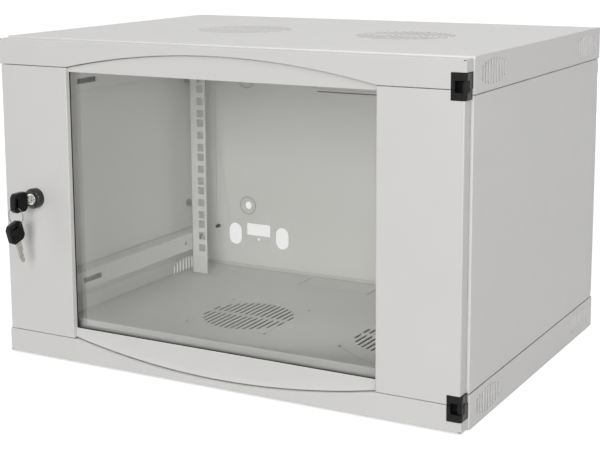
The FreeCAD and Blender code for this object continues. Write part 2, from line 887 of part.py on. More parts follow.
# Rack: four depth bars on the side panels carry two punched rails.

BAR_RUN = (BODY + size("bar_front"), BACK - size("bar_rear"))
RAIL_Y = -size("rail_rear")
BOLT_Y = RAIL_Y + size("bolt_back")


def build_depth_bar(side, end, name):
    """Channel that opens towards the side panel."""
    gauge, height = size("bar_gauge"), size("bar_height")
    middle = frame_level(end, size("bar_level"))
    low, high = about(middle, height)
    body = new_body(f"depth_bar_{name}")
    section = sketch_on(body, "XZ_Plane", -BAR_RUN[0])
    outer, inner = (HALF - PANEL_IN) * side, (HALF - BAR_IN) * side
    web = inner + gauge * side
    outline(
        section,
        (
            (outer, low),
            (inner, low),
            (inner, high),
            (outer, high),
            (outer, high - gauge),
            (web, high - gauge),
            (web, low + gauge),
            (outer, low + gauge),
        ),
    )
    pad(body, section, BAR_RUN[1] - BAR_RUN[0], backward=True)
    holes = sketch_on(body, "YZ_Plane", web if side == LEFT else inner)
    slot_centre = behind(size("bar_slot_setback"))
    rectangle(holes, about(slot_centre, size("bar_slot")), about(middle, size("bar_slot_rise")))
    circle(holes, -size("bar_bore_rear"), middle, size("bar_bore"))
    circle(holes, BOLT_Y, middle, size("bolt_bore") + size("bolt_play") * 2)
    pocket(body, holes, gauge, backward=True)


def build_rack_rail(side, name):
    """Angle with square holes at the standard pitch."""
    gauge, pitch = size("bar_gauge"), size("unit_pitch")
    foot = up(size("rail_foot"))
    tall = pitch * RACK_UNITS + size("rail_end") * 2
    inner = size("rack_opening") / 2 * side
    outer = inner + size("rail_width") * side
    web = outer - gauge * side
    body = new_body(f"rack_rail_{name}")
    section = sketch_on(body, "XY_Plane", foot)
    outline(
        section,
        (
            (inner, RAIL_Y),
            (outer, RAIL_Y),
            (outer, RAIL_Y + size("rail_web")),
            (web, RAIL_Y + size("rail_web")),
            (web, RAIL_Y + gauge),
            (inner, RAIL_Y + gauge),
        ),
    )
    pad(body, section, tall)
    first = foot + size("rail_end") + size("hole_first")
    holes = sketch_on(body, "XZ_Plane", -RAIL_Y)
    for number in range(3):
        centre = first + size("hole_step") * number
        rectangle(
            holes,
            about(inner + size("hole_inset") * side, size("hole_side")),
            about(centre, size("hole_side")),
        )
    punched = pocket(body, holes, gauge)
    pattern = body.newObject("PartDesign::LinearPattern", "UnitPattern")
    pattern.Originals = [punched]
    pattern.Direction = (holes, ["V_Axis"])
    pattern.setExpression("Length", (pitch * (RACK_UNITS - 1)).formula)
    pattern.Occurrences = RACK_UNITS
    body.Tip = pattern
    bolt_holes = sketch_on(body, "YZ_Plane", outer if side == LEFT else web)
    for end in (LOW, HIGH):
        bore = size("bolt_bore") + size("bolt_play") * 2
        circle(bolt_holes, BOLT_Y, frame_level(end, size("bar_level")), bore)
    pocket(body, bolt_holes, gauge, backward=True)


def build_rail_bolt(side, end, name):
    """Hexagon bolt from the rail's web through the depth bar, and its nut."""
    z = frame_level(end, size("bar_level"))
    gauge, head = size("bar_gauge"), size("bolt_head")
    seat = (HALF - BAR_IN - gauge) * side
    head_start = seat - head if side == RIGHT else seat
    hex_head = hexagon("X", head_start, BOLT_Y, z, size("bolt_across"), head)
    reach = size("bolt_length")
    shank_start = seat if side == RIGHT else seat - reach
    shank = rod("X", shank_start, BOLT_Y, z, size("bolt_bore"), reach)
    node(f"rail_bolt_{name}", fuse(hex_head, shank))
    nut_seat = (HALF - BAR_IN + gauge) * side
    nut_rise = size("nut_rise")
    nut_start = nut_seat if side == RIGHT else nut_seat - nut_rise
    nut = hexagon("X", nut_start, BOLT_Y, z, size("bolt_across"), nut_rise)
    bore = rod("X", nut_start, BOLT_Y, z, size("bolt_bore"), nut_rise)
    node(f"rail_nut_{name}", cut(nut, bore))


def build_stud(side, z, name):
    """Welded stud with a nut, on the inside of a side panel."""
    face = (HALF - PANEL_IN) * side
    reach, rise = size("stud_length"), size("nut_rise") * 0.8
    y = -size("stud_rear")
    stud_start = face - reach if side == RIGHT else face
    nut_start = face - rise if side == RIGHT else face
    stud = rod("X", stud_start, y, z, size("stud_bore"), reach)
    nut = hexagon("X", nut_start, y, z, size("bolt_across") - GAUGE, rise)
    node(f"earth_stud_{name}", fuse(stud, nut))


def build_rivet(side, name):
    """Plastic rivet with two collars on the rear panel."""
    head, neck, reach = size("rivet_head"), size("rivet_neck"), size("rivet_length")
    body = new_body(f"push_rivet_{name}")
    profile = sketch_on(body, "XY_Plane")
    collar = reach / 3
    outline(
        profile,
        (
            (0, 0),
            (head / 2, 0),
            (head / 2, -collar),
            (neck / 2, -collar),
            (neck / 2, -collar * 2),
            (head / 2, -collar * 2),
            (head / 2, -reach),
            (0, -reach),
        ),
    )
    revolve(body, profile)
    place(body, (HALF - size("rivet_inset")) * side, CURB[1], up(size("rivet_level")))


# Cam lock.

CAM_Y = BODY + GAUGE * 2 + size("cam_gap")
LOCK_END = CAM_Y - size("cam_gap") / 2


def build_lock():
    """Housing, nut, plug, cam and screw of the cam lock."""
    proud, edge = size("lock_proud"), size("lock_edge")
    face, barrel = size("lock_face") / 2, size("lock_barrel") / 2
    bore = size("plug_bore") / 2 + size("plug_play")
    depth = LOCK_END - FRONT
    body = new_body("lock_housing")
    profile = sketch_on(body, "XY_Plane")
    outline(
        profile,
        (
            (bore, -proud),
            (face - edge, -proud),
            (face, -proud + edge),
            (face, 0),
            (barrel, 0),
            (barrel, depth),
            (bore, depth),
        ),
    )
    revolve(body, profile)
    place(body, LOCK_X, FRONT, LOCK_Z)

    across_flats, rise = size("lock_nut_across"), size("lock_nut_rise")
    nut = hexagon("Y", LOCK_X, FRONT + GAUGE, LOCK_Z, across_flats, rise)
    hole = rod("Y", LOCK_X, FRONT + GAUGE, LOCK_Z, size("lock_barrel"), rise)
    node("lock_nut", cut(nut, hole))

    cam, square = size("cam_gauge"), size("cam_square")
    play = size("key_play")
    body = new_body("lock_plug")
    section = sketch_on(body, "XZ_Plane", proud)
    circle(section, 0, 0, size("plug_bore"))
    pad(body, section, proud + (CAM_Y - FRONT), backward=True)
    stub = sketch_on(body, "XZ_Plane", FRONT - CAM_Y)
    rectangle(stub, about(length(0), square), about(length(0), square))
    pad(body, stub, cam, backward=True)
    keyway = sketch_on(body, "XZ_Plane", proud)
    rectangle(
        keyway,
        about(length(0), size("blade_gauge") + play * 2),
        about(length(0), size("blade_width") + play * 2),
    )
    pocket(body, keyway, size("blade_length") - size("blade_free") + play * 2)
    place(body, LOCK_X, FRONT, LOCK_Z)

    width, reach = size("cam_width"), size("cam_reach")
    plate_y = (CAM_Y, CAM_Y + cam)
    plate = block(about(LOCK_X, width), plate_y, (LOCK_Z - reach + width / 2, LOCK_Z))
    head = rod("Y", LOCK_X, CAM_Y, LOCK_Z, width, cam)
    toe = rod("Y", LOCK_X, CAM_Y, LOCK_Z - reach + width / 2, width, cam)
    opening = block(about(LOCK_X, square), plate_y, about(LOCK_Z, square))
    node("lock_cam", cut(fuse(plate, head, toe), opening))
    node("cam_screw", hexagon("Y", LOCK_X, CAM_Y + cam, LOCK_Z, size("bolt_across"), cam))


# Keys: one in the lock, a spare on a ring through both bows.

BOW_SLOT_Y = FRONT - size("lock_proud") - size("blade_free") - size("bow_length") + size("bow_slot_edge")
WIRE = size("ring_wire") / 2
SAG = size("ring_radius") - root(
    size("ring_radius") * size("ring_radius") - size("bow_gauge") * size("bow_gauge") / 4
)
HOOK = size("bow_slot") / 2 - WIRE - SAG - size("run_gap")


def build_key(prefix, placement):
    """Blade and moulded bow, in the key's own frame with its origin in the bow's slot."""
    edge, long = size("bow_slot_edge"), size("bow_length")
    start = long - edge
    gauge, corner = size("bow_gauge"), size("bow_corner")
    body = new_body(f"{prefix}_bow")
    face = sketch_on(body, "YZ_Plane", -gauge / 2)
    wide = size("bow_width") / 2
    outline(
        face,
        (
            (-edge, -wide + corner),
            (-edge + corner, -wide),
            (start - corner, -wide),
            (start, -wide + corner),
            (start, wide - corner),
            (start - corner, wide),
            (-edge + corner, wide),
            (-edge, wide - corner),
        ),
    )
    pad(body, face, gauge)
    slot = sketch_on(body, "YZ_Plane", -gauge / 2)
    rectangle(
        slot, about(length(0), size("bow_slot_width")), about(length(0), size("bow_slot"))
    )
    pocket(body, slot, gauge, backward=True)
    rib, pitch, depth = size("bow_rib"), size("bow_rib_pitch"), size("bow_rib_depth")
    first = size("bow_slot_width") / 2 + rib * 2
    for side in (LEFT, RIGHT):
        base = -gauge / 2 if side == LEFT else gauge / 2 - depth
        groove = sketch_on(body, "YZ_Plane", base)
        rectangle(groove, (first, first + rib), about(length(0), size("bow_slot") + rib))
        grooves = pocket(body, groove, depth, backward=True)
        pattern = body.newObject("PartDesign::LinearPattern", "Ribs")
        pattern.Originals = [grooves]
        pattern.Direction = (groove, ["H_Axis"])
        pattern.setExpression("Length", (pitch * (BOW_RIBS - 1)).formula)
        pattern.Occurrences = BOW_RIBS
        body.Tip = pattern
    body.Placement = placement

    thick = size("blade_gauge")
    body = new_body(f"{prefix}_blade")
    face = sketch_on(body, "YZ_Plane", -thick / 2)
    half, reach = size("blade_width") / 2, size("blade_length")
    bite = half / 4
    tip = start + reach
    step = reach / 10
    outline(
        face,
        (
            (start, -half),
            (tip - half, -half),
            (tip, -half / 2),
            (tip, half / 2),
            (tip - step, half - bite),
            (tip - step * 2, half - bite * 2),
            (tip - step * 3, half - bite),
            (tip - step * 4, half - bite * 2),
            (tip - step * 5, half - bite),
            (tip - step * 5, half),
            (start, half),
        ),
    )
    pad(body, face, thick)
    body.Placement = placement


def build_keys():
    """The key in the lock, the ring through its bow and the spare that hangs on it."""
    x, y, z = LOCK_X.value, BOW_SLOT_Y.value, LOCK_Z.value
    build_key("key", Placement(Vector(x, y, z), Rotation()))
    ring_z = LOCK_Z - HOOK - size("ring_radius")
    body = new_body("key_ring")
    section = sketch_on(body, "XY_Plane")
    radius = size("ring_radius")
    point, flat = WIRE / 2, WIRE * math.sqrt(3) / 2
    outline(
        section,
        (
            (radius - point, -flat),
            (radius + point, -flat),
            (radius + WIRE, 0),
            (radius + point, flat),
            (radius - point, flat),
            (radius - WIRE, 0),
        ),
    )
    revolve(body, section)
    place(body, LOCK_X, BOW_SLOT_Y, ring_z)
    turn = Rotation(Vector(1, 0, 0), size("spare_tilt").value - 90)
    across_slot = size("bow_slot_width").value / 2 - WIRE.value - SAG.value - size("run_gap").value
    hook = turn.multVec(Vector(0, -across_slot, HOOK.value))
    hang = Vector(x, y, ring_z.value - size("ring_radius").value)
    build_key("spare", Placement(hang - hook, turn))


build_bottom_panel()
build_top_panel()
build_rear_panel()
for side, side_name in SIDES:
    build_side_panel(side, side_name)
    build_front_post(side, side_name)
    build_stile(side, side_name)
    build_rack_rail(side, side_name)
    build_rivet(side, side_name)
    for end, end_name in ENDS:
        build_depth_bar(side, end, f"{side_name}_{end_name}")
        build_rail_bolt(side, end, f"{side_name}_{end_name}")
    build_stud(side, frame_level(LOW, size("stud_low")), f"{side_name}_low")
    build_stud(side, frame_level(HIGH, size("stud_high")), f"{side_name}_high")
for end, end_name in ENDS:
    build_fascia(end, end_name)
    build_door_rail(end, end_name)
    build_hinge(end, end_name)
build_glazing()
build_lock()
build_keys()

doc.recompute()
for item in doc.Objects:
    assert not {"Invalid", "Error"} & set(item.State), f"{item.Label}: {item.State}"
os.makedirs("parts", exist_ok=True)
for item in nodes:
    shape = item.Shape
    assert not shape.isNull() and shape.isValid() and shape.Volume > 0, item.Label
    shape.exportStep(f"parts/{item.Label}.step")
    print(f"{item.Label}: {len(shape.Solids)} solid, {shape.Volume:.0f} mm3")
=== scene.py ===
"""Looks of a wall mount network cabinet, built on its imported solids.

Every sub-assembly is a class. It dresses the cabinet's own solids with a procedural
finish, or replaces a small one with a finer mesh made here. Lengths are in metres.
"""

import json
import logging
import math
from dataclasses import dataclass, field
from enum import Enum
from typing import ClassVar, Protocol

import bmesh
import bpy
from bpy.types import (
    ID, Curve, Material, Mesh, NodeSocket, Object, ShaderNode, ShaderNodeTree,
)
from mathutils import Matrix, Vector


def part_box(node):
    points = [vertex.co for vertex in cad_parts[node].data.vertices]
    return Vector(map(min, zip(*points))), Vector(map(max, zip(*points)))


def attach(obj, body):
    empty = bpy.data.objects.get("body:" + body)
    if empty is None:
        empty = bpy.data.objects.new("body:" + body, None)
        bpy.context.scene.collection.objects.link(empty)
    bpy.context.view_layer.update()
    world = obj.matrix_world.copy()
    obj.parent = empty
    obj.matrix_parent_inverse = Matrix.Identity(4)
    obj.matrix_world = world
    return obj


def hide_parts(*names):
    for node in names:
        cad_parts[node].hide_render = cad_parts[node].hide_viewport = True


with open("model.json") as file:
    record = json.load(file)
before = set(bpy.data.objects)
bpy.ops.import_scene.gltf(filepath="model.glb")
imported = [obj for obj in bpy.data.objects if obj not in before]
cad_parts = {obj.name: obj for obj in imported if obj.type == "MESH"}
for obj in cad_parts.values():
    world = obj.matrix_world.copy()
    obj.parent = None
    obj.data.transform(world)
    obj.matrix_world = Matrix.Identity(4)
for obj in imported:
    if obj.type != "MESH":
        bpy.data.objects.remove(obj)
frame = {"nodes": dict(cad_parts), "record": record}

MM = 0.001
LOG = logging.getLogger("cabinet")
SHARP = 32.0
TURNED_SHARP = 25.0
SAME_POINT = 0.002 * MM

Colour = tuple[float, float, float]
Place = tuple[float, float, float]
Span = tuple[float, float]
Loop = list[tuple[float, float]]


# Finishes.


class Tone(Enum):
    """Base colours of the finishes, scene linear."""

    LIGHT_GREY = (0.780, 0.772, 0.756)
    # Painted shade: a darker copy of LIGHT_GREY for the front frame, which takes the strongest
    # light.
    SHADED_FRONT_GREY = (0.710, 0.703, 0.689)
    MOULDED_BLACK = (0.010, 0.010, 0.010)
    KEY_BLACK = (0.008, 0.008, 0.009)
    LACQUER_BLACK = (0.010, 0.010, 0.011)
    ZINC = (0.52, 0.52, 0.51)
    NICKEL = (0.60, 0.58, 0.54)
    CHROME = (0.70, 0.70, 0.70)
    DULL_CHROME = (0.26, 0.26, 0.26)
    # Black of the door seal, also used for the dark sheet of painted shade under the base.
    SEAL_AND_SHADE_BLACK = (0.016, 0.016, 0.016)
    # Painted shade: dark grey for the sheets that stand for the shade in slits and notches.
    SLOT_SHADE = (0.12, 0.12, 0.12)

    def scaled(self, factor: float, lift: float = 0.0) -> Colour:
        """Lightens or darkens the tone.

        Args:
            factor: Factor on each channel.
            lift: Amount added to each channel.

        Returns:
            The new colour, white at most.
        """
        red, green, blue = (min(1.0, channel * factor + lift) for channel in self.value)
        return red, green, blue


class Nodes:
    """A builder of one shader node tree."""

    def __init__(self, tree: ShaderNodeTree) -> None:
        """Starts on an empty tree.

        Args:
            tree: Node tree to fill.
        """
        self.tree = tree
        tree.nodes.clear()

    def add(self, kind: str, **settings: object) -> ShaderNode:
        """Adds a node.

        Args:
            kind: Type name of the node.
            **settings: Attributes to set on it.

        Returns:
            The new node.
        """
        node = self.tree.nodes.new(kind)
        for name, value in settings.items():
            setattr(node, name, value)
        return node

    def feed(self, socket: NodeSocket, value: object) -> None:
        """Sets a socket to a constant or links another socket to it.

        Args:
            socket: Input socket.
            value: Number, colour or output socket.
        """
        if isinstance(value, NodeSocket):
            self.tree.links.new(value, socket)
        elif isinstance(value, tuple) and len(value) == 3 and socket.type == "RGBA":
            socket.default_value = (*value, 1.0)
        else:
            socket.default_value = value

    def math(self, operation: str, first: object, second: object) -> NodeSocket:
        """Works out a number from two others.

        Args:
            operation: Name of the operation.
            first: First number.
            second: Second number.

        Returns:
            The result.
        """
        node = self.add("ShaderNodeMath", operation=operation)
        self.feed(node.inputs[0], first)
        self.feed(node.inputs[1], second)
        return node.outputs[0]

    def spread(
        self, value: NodeSocket, low: float, high: float, band: Span = (0.3, 0.7)
    ) -> NodeSocket:
        """Maps a value onto a range.

        Args:
            value: The value.
            low: Result at the start of the band and below it.
            high: Result at the end of the band and above it.
            band: Values that give the low and the high result.

        Returns:
            The mapped value.
        """
        node = self.add("ShaderNodeMapRange")
        self.feed(node.inputs["Value"], value)
        self.feed(node.inputs["From Min"], band[0])
        self.feed(node.inputs["From Max"], band[1])
        self.feed(node.inputs["To Min"], low)
        self.feed(node.inputs["To Max"], high)
        return node.outputs["Result"]

    def mixed(self, share: NodeSocket, first: ShaderNode, second: ShaderNode) -> NodeSocket:
        """Mixes two surfaces.

        Args:
            share: Share of the second surface.
            first: Surface at a share of 0.
            second: Surface at a share of 1.

        Returns:
            The mixed surface.
        """
        node = self.add("ShaderNodeMixShader")
        self.feed(node.inputs[0], share)
        self.feed(node.inputs[1], first.outputs[0])
        self.feed(node.inputs[2], second.outputs[0])
        return node.outputs[0]

    def looked_at(self) -> NodeSocket:
        """Tells the rays that show the surroundings from those that carry their light.

        Returns:
            1 for camera, glossy and transmission rays, and 0 for the rest.
        """
        rays = self.add("ShaderNodeLightPath").outputs
        seen = self.math("MAXIMUM", rays["Is Camera Ray"], rays["Is Glossy Ray"])
        return self.math("MAXIMUM", seen, rays["Is Transmission Ray"])


class Shader(Nodes):
    """A builder of one material."""

    BEVEL_SAMPLES: ClassVar[int] = 6
    SKY_SAMPLES: ClassVar[int] = 4
    EDGE_TURN: ClassVar[Span] = (0.78, 0.995)

    def __init__(self, name: str) -> None:
        """Starts an empty material.

        Args:
            name: Name of the material.
        """
        self.material = bpy.data.materials.new(name)
        self.material.use_nodes = True
        super().__init__(self.material.node_tree)
        self.output = self.add("ShaderNodeOutputMaterial")
        self.position = self.add("ShaderNodeNewGeometry").outputs["Position"]

    def noise(self, size: float, detail: float = 3.0, stretch: Place = (1, 1, 1)) -> NodeSocket:
        """Noise that keeps its real size on every piece.

        Args:
            size: Size of the grain.
            detail: Octaves of the noise.
            stretch: Factor on each axis of the position.

        Returns:
            A value from 0 to 1.
        """
        scaled = self.add("ShaderNodeVectorMath", operation="MULTIPLY")
        self.feed(scaled.inputs[0], self.position)
        self.feed(scaled.inputs[1], stretch)
        node = self.add("ShaderNodeTexNoise")
        self.feed(node.inputs["Vector"], scaled.outputs[0])
        self.feed(node.inputs["Scale"], 1.0 / size)
        self.feed(node.inputs["Detail"], detail)
        return node.outputs["Fac"]

    def blend(self, share: NodeSocket, first: object, second: object) -> NodeSocket:
        """Mixes two colours.

        Args:
            share: Share of the second colour.
            first: Colour at a share of 0.
            second: Colour at a share of 1.

        Returns:
            The mixed colour.
        """
        node = self.add("ShaderNodeMix", data_type="RGBA")
        self.feed(node.inputs["Factor"], share)
        self.feed(node.inputs["A"], first)
        self.feed(node.inputs["B"], second)
        return next(socket for socket in node.outputs if socket.type == "RGBA")

    def edge(self, radius: float) -> tuple[NodeSocket, NodeSocket]:
        """Rounds folded edges in the shading and finds them.

        Args:
            radius: Radius of the fold.

        Returns:
            The rounded normal, and a mask that is 1 on an edge.
        """
        bevel = self.add("ShaderNodeBevel", samples=self.BEVEL_SAMPLES)
        self.feed(bevel.inputs["Radius"], radius)
        normal = self.add("ShaderNodeNewGeometry").outputs["Normal"]
        dot = self.add("ShaderNodeVectorMath", operation="DOT_PRODUCT")
        self.feed(dot.inputs[0], bevel.outputs[0])
        self.feed(dot.inputs[1], normal)
        return bevel.outputs[0], self.spread(dot.outputs["Value"], 1.0, 0.0, self.EDGE_TURN)

    def openness(self, reach: float, own: bool = False) -> NodeSocket:
        """Finds how open the surface lies.

        Args:
            reach: Distance to which the surroundings count.
            own: Whether only the piece itself closes its surface in.

        Returns:
            1 in the open and 0 where the surface is closed in.
        """
        sky = self.add("ShaderNodeAmbientOcclusion", samples=self.SKY_SAMPLES, only_local=own)
        self.feed(sky.inputs["Distance"], reach)
        return sky.outputs["AO"]

    def shaded(
        self, colour: NodeSocket, openness: NodeSocket, least: float, band: Span
    ) -> NodeSocket:
        """Paints shade into a colour where the surface is closed in.

        Args:
            colour: The colour.
            openness: How open the surface lies.
            least: Factor on the colour where it is darkest.
            band: Openness that gives the least factor, and that leaves the colour as it is.

        Returns:
            The darkened colour.
        """
        scale = self.add("ShaderNodeVectorMath", operation="SCALE")
        self.feed(scale.inputs[0], colour)
        self.feed(scale.inputs["Scale"], self.spread(openness, least, 1.0, band))
        return scale.outputs[0]

    def bump(self, height: NodeSocket, depth: float, normal: NodeSocket) -> NodeSocket:
        """Bumps a normal.

        Args:
            height: Height map.
            depth: Depth of the relief.
            normal: Normal to bump.

        Returns:
            The bumped normal.
        """
        node = self.add("ShaderNodeBump")
        self.feed(node.inputs["Strength"], 1.0)
        self.feed(node.inputs["Distance"], depth)
        self.feed(node.inputs["Height"], height)
        self.feed(node.inputs["Normal"], normal)
        return node.outputs["Normal"]

    def principled(self, **inputs: object) -> NodeSocket:
        """Adds the main surface.

        Args:
            **inputs: Values by socket name, with _ for a space.

        Returns:
            The surface.
        """
        node = self.add("ShaderNodeBsdfPrincipled")
        for name, value in inputs.items():
            self.feed(node.inputs[name.replace("_", " ")], value)
        return node.outputs[0]

    def close(self, surface: NodeSocket) -> Material:
        """Links the surface to the output.

        Args:
            surface: Output of the last surface node.

        Returns:
            The finished material.
        """
        self.feed(self.output.inputs["Surface"], surface)
        return self.material


class Finish(Protocol):
    """A finish that builds its own material."""

    @property
    def name(self) -> str:
        """Name of its material."""

    def build(self) -> Material:
        """Makes the material."""


@dataclass(frozen=True)
class PowderCoat:
    """Baked paint with a fine orange peel, a painted highlight along folded edges, and painted
    shade in crevices and inside corners.
    """

    name: str
    tone: Tone
    roughness: float = 0.42
    haze: float = 0.03
    haze_size: float = 24 * MM
    specular: float = 0.45
    fold: float = 0.9 * MM
    peel: float = 0.9 * MM
    peel_depth: float = 0.006 * MM
    peel_detail: float = 4.0
    cloud_size: float = 90 * MM
    cloud_shade: float = 0.975
    # Painted highlight along folded edges, broken up by noise.
    fold_highlight_size: float = 7 * MM
    fold_highlight_factor: float = 1.08
    fold_highlight_share: Span = (0.2, 0.8)
    # Painted shade: darker in crevices and seams, and in inside corners.
    crevice: float = 3.5 * MM
    crevice_shade: float = 0.5
    crevice_band: Span = (0.2, 0.8)
    corner: float = 90 * MM
    corner_shade: float = 0.8
    corner_band: Span = (0.25, 0.75)

    def build(self) -> Material:
        """Makes the material.

        Returns:
            The finished material.
        """
        shader = Shader(self.name)
        normal, edge = shader.edge(self.fold)
        cloud = shader.spread(shader.noise(self.cloud_size), 0.0, 1.0)
        colour = shader.blend(cloud, self.tone.scaled(self.cloud_shade), self.tone.value)
        # Painted highlight: folded edges are lightened, broken up by noise.
        thin = shader.spread(shader.noise(self.fold_highlight_size), *self.fold_highlight_share)
        share = shader.math("MULTIPLY", edge, thin)
        colour = shader.blend(share, colour, self.tone.scaled(self.fold_highlight_factor))
        # Painted shade in crevices and seams, then in inside corners.
        slit = shader.openness(self.crevice)
        colour = shader.shaded(colour, slit, self.crevice_shade, self.crevice_band)
        inside = shader.openness(self.corner, own=True)
        colour = shader.shaded(colour, inside, self.corner_shade, self.corner_band)
        rough = shader.spread(
            shader.noise(self.haze_size), self.roughness - self.haze, self.roughness + self.haze
        )
        normal = shader.bump(shader.noise(self.peel, self.peel_detail), self.peel_depth, normal)
        surface = shader.principled(
            Base_Color=colour, Roughness=rough, Normal=normal, Specular_IOR_Level=self.specular
        )
        return shader.close(surface)


@dataclass(frozen=True)
class MouldedPlastic:
    """Plastic or rubber with a fine spark-eroded grain, a painted highlight along its edges, and
    painted shade that dulls the gloss in pockets.
    """

    name: str
    tone: Tone
    roughness: float = 0.45
    swing: float = 0.06
    swing_size: float = 3 * MM
    fold: float = 0.35 * MM
    # Painted highlight along edges, broken up by noise.
    edge_highlight_factor: float = 2.2
    edge_highlight_lift: float = 0.006
    edge_highlight_size: float = 2 * MM
    edge_highlight_share: Span = (0.1, 0.7)
    grain: float = 0.22 * MM
    grain_depth: float = 0.008 * MM
    grain_detail: float = 2.0
    gloss: float = 0.3
    # Painted shade: the gloss falls towards least_gloss in pockets and hollows.
    least_gloss: float = 0.02
    pocket_shade_reach: float = 7 * MM
    pocket_shade_band: Span = (0.3, 0.9)

    def build(self) -> Material:
        """Makes the material.

        Returns:
            The finished material.
        """
        shader = Shader(self.name)
        normal, edge = shader.edge(self.fold)
        # Painted highlight: edges are lightened, broken up by noise.
        edge_highlight_noise = shader.spread(shader.noise(self.edge_highlight_size), *self.edge_highlight_share)
        share = shader.math("MULTIPLY", edge, edge_highlight_noise)
        light = self.tone.scaled(self.edge_highlight_factor, self.edge_highlight_lift)
        colour = shader.blend(share, self.tone.value, light)
        low, high = self.roughness - self.swing, self.roughness + self.swing
        rough = shader.spread(shader.noise(self.swing_size), low, high)
        grain = shader.noise(self.grain, self.grain_detail)
        normal = shader.bump(grain, self.grain_depth, normal)
        # Painted shade: the gloss falls in pockets and hollows, so that their reflections
        # darken.
        sky = shader.openness(self.pocket_shade_reach)
        gloss = shader.spread(sky, self.least_gloss, self.gloss, self.pocket_shade_band)
        surface = shader.principled(
            Base_Color=colour, Roughness=rough, Normal=normal, Specular_IOR_Level=gloss
        )
        return shader.close(surface)


@dataclass(frozen=True)
class PlatedMetal:
    """Plated or polished metal with fine marks along one axis."""

    name: str
    tone: Tone
    roughness: float = 0.25
    rough_range: Span = (0.8, 1.25)
    stretch: Place = (1.0, 0.12, 1.0)
    mark: float = 0.35 * MM
    mark_depth: float = 0.002 * MM
    dull_shade: float = 0.86
    fold: float = 0.2 * MM

    def build(self) -> Material:
        """Makes the material.

        Returns:
            The finished material.
        """
        shader = Shader(self.name)
        normal, _ = shader.edge(self.fold)
        marks = shader.noise(self.mark, stretch=self.stretch)
        share = shader.spread(marks, 0.0, 1.0)
        colour = shader.blend(share, self.tone.scaled(self.dull_shade), self.tone.value)
        low, high = (self.roughness * factor for factor in self.rough_range)
        rough = shader.spread(marks, low, high)
        normal = shader.bump(marks, self.mark_depth, normal)
        surface = shader.principled(
            Base_Color=colour, Metallic=1.0, Roughness=rough, Normal=normal
        )
        return shader.close(surface)


@dataclass(frozen=True)
class Lacquer:
    """Glossy dark lacquer over a die casting."""

    name: str
    tone: Tone
    roughness: float = 0.12
    rough_range: Span = (0.7, 1.5)
    rough_size: float = 1.5 * MM
    ripple: float = 0.8 * MM
    ripple_depth: float = 0.004 * MM
    ripple_detail: float = 2.0
    fold: float = 0.3 * MM
    specular: float = 0.35
    coat: float = 0.25
    coat_roughness: float = 0.06

    def build(self) -> Material:
        """Makes the material.

        Returns:
            The finished material.
        """
        shader = Shader(self.name)
        normal, _ = shader.edge(self.fold)
        low, high = (self.roughness * factor for factor in self.rough_range)
        rough = shader.spread(shader.noise(self.rough_size), low, high)
        ripple = shader.noise(self.ripple, self.ripple_detail)
        normal = shader.bump(ripple, self.ripple_depth, normal)
        surface = shader.principled(
            Base_Color=self.tone.value, Roughness=rough, Normal=normal,
            Coat_Weight=self.coat, Coat_Roughness=self.coat_roughness,
            Specular_IOR_Level=self.specular,
        )
        return shader.close(surface)


@dataclass(frozen=True)
class ClearPane:
    """Thin clear glass with a slight tint and a trace of smears."""

    name: str
    tint: Colour = (0.900, 0.904, 0.898)
    smear: float = 0.03
    smear_size: float = 60 * MM
    bend: float = 1.5
    sheen: float = 0.5

    def build(self) -> Material:
        """Makes the material.

        Returns:
            The finished material.
        """
        shader = Shader(self.name)
        clear = shader.add("ShaderNodeBsdfTransparent")
        shader.feed(clear.inputs["Color"], self.tint)
        sheen = shader.add("ShaderNodeBsdfGlossy")
        shader.feed(sheen.inputs["Color"], (1.0, 1.0, 1.0))
        smear = shader.spread(shader.noise(self.smear_size), 0.0, self.smear)
        shader.feed(sheen.inputs["Roughness"], smear)
        fresnel = shader.add("ShaderNodeFresnel")
        shader.feed(fresnel.inputs["IOR"], self.bend)
        share = shader.math("MULTIPLY", fresnel.outputs[0], self.sheen)
        return shader.close(shader.mixed(share, clear, sheen))


@dataclass(frozen=True)
class PaleFloor:
    """Matt floor that shows white and keeps a faint shadow."""

    name: str
    matt: Colour = (0.3, 0.3, 0.3)
    pale: Colour = (0.9, 0.9, 0.9)
    glow: Span = (0.55, 0.78)
    glow_band: Span = (0.4, 2.0)

    def build(self) -> Material:
        """Makes the material.

        Returns:
            The finished material.
        """
        shader = Shader(self.name)
        shader.material.cycles.emission_sampling = "NONE"
        matt, pale = shader.add("ShaderNodeBsdfDiffuse"), shader.add("ShaderNodeBsdfDiffuse")
        shader.feed(matt.inputs["Color"], self.matt)
        shader.feed(pale.inputs["Color"], self.pale)
        away = shader.add("ShaderNodeVectorMath", operation="LENGTH")
        shader.feed(away.inputs[0], shader.position)
        glow, both = shader.add("ShaderNodeEmission"), shader.add("ShaderNodeAddShader")
        strength = shader.spread(away.outputs["Value"], *self.glow, self.glow_band)
        shader.feed(glow.inputs["Strength"], strength)
        shader.feed(both.inputs[0], pale.outputs[0])
        shader.feed(both.inputs[1], glow.outputs[0])
        return shader.close(shader.mixed(shader.looked_at(), matt, both))


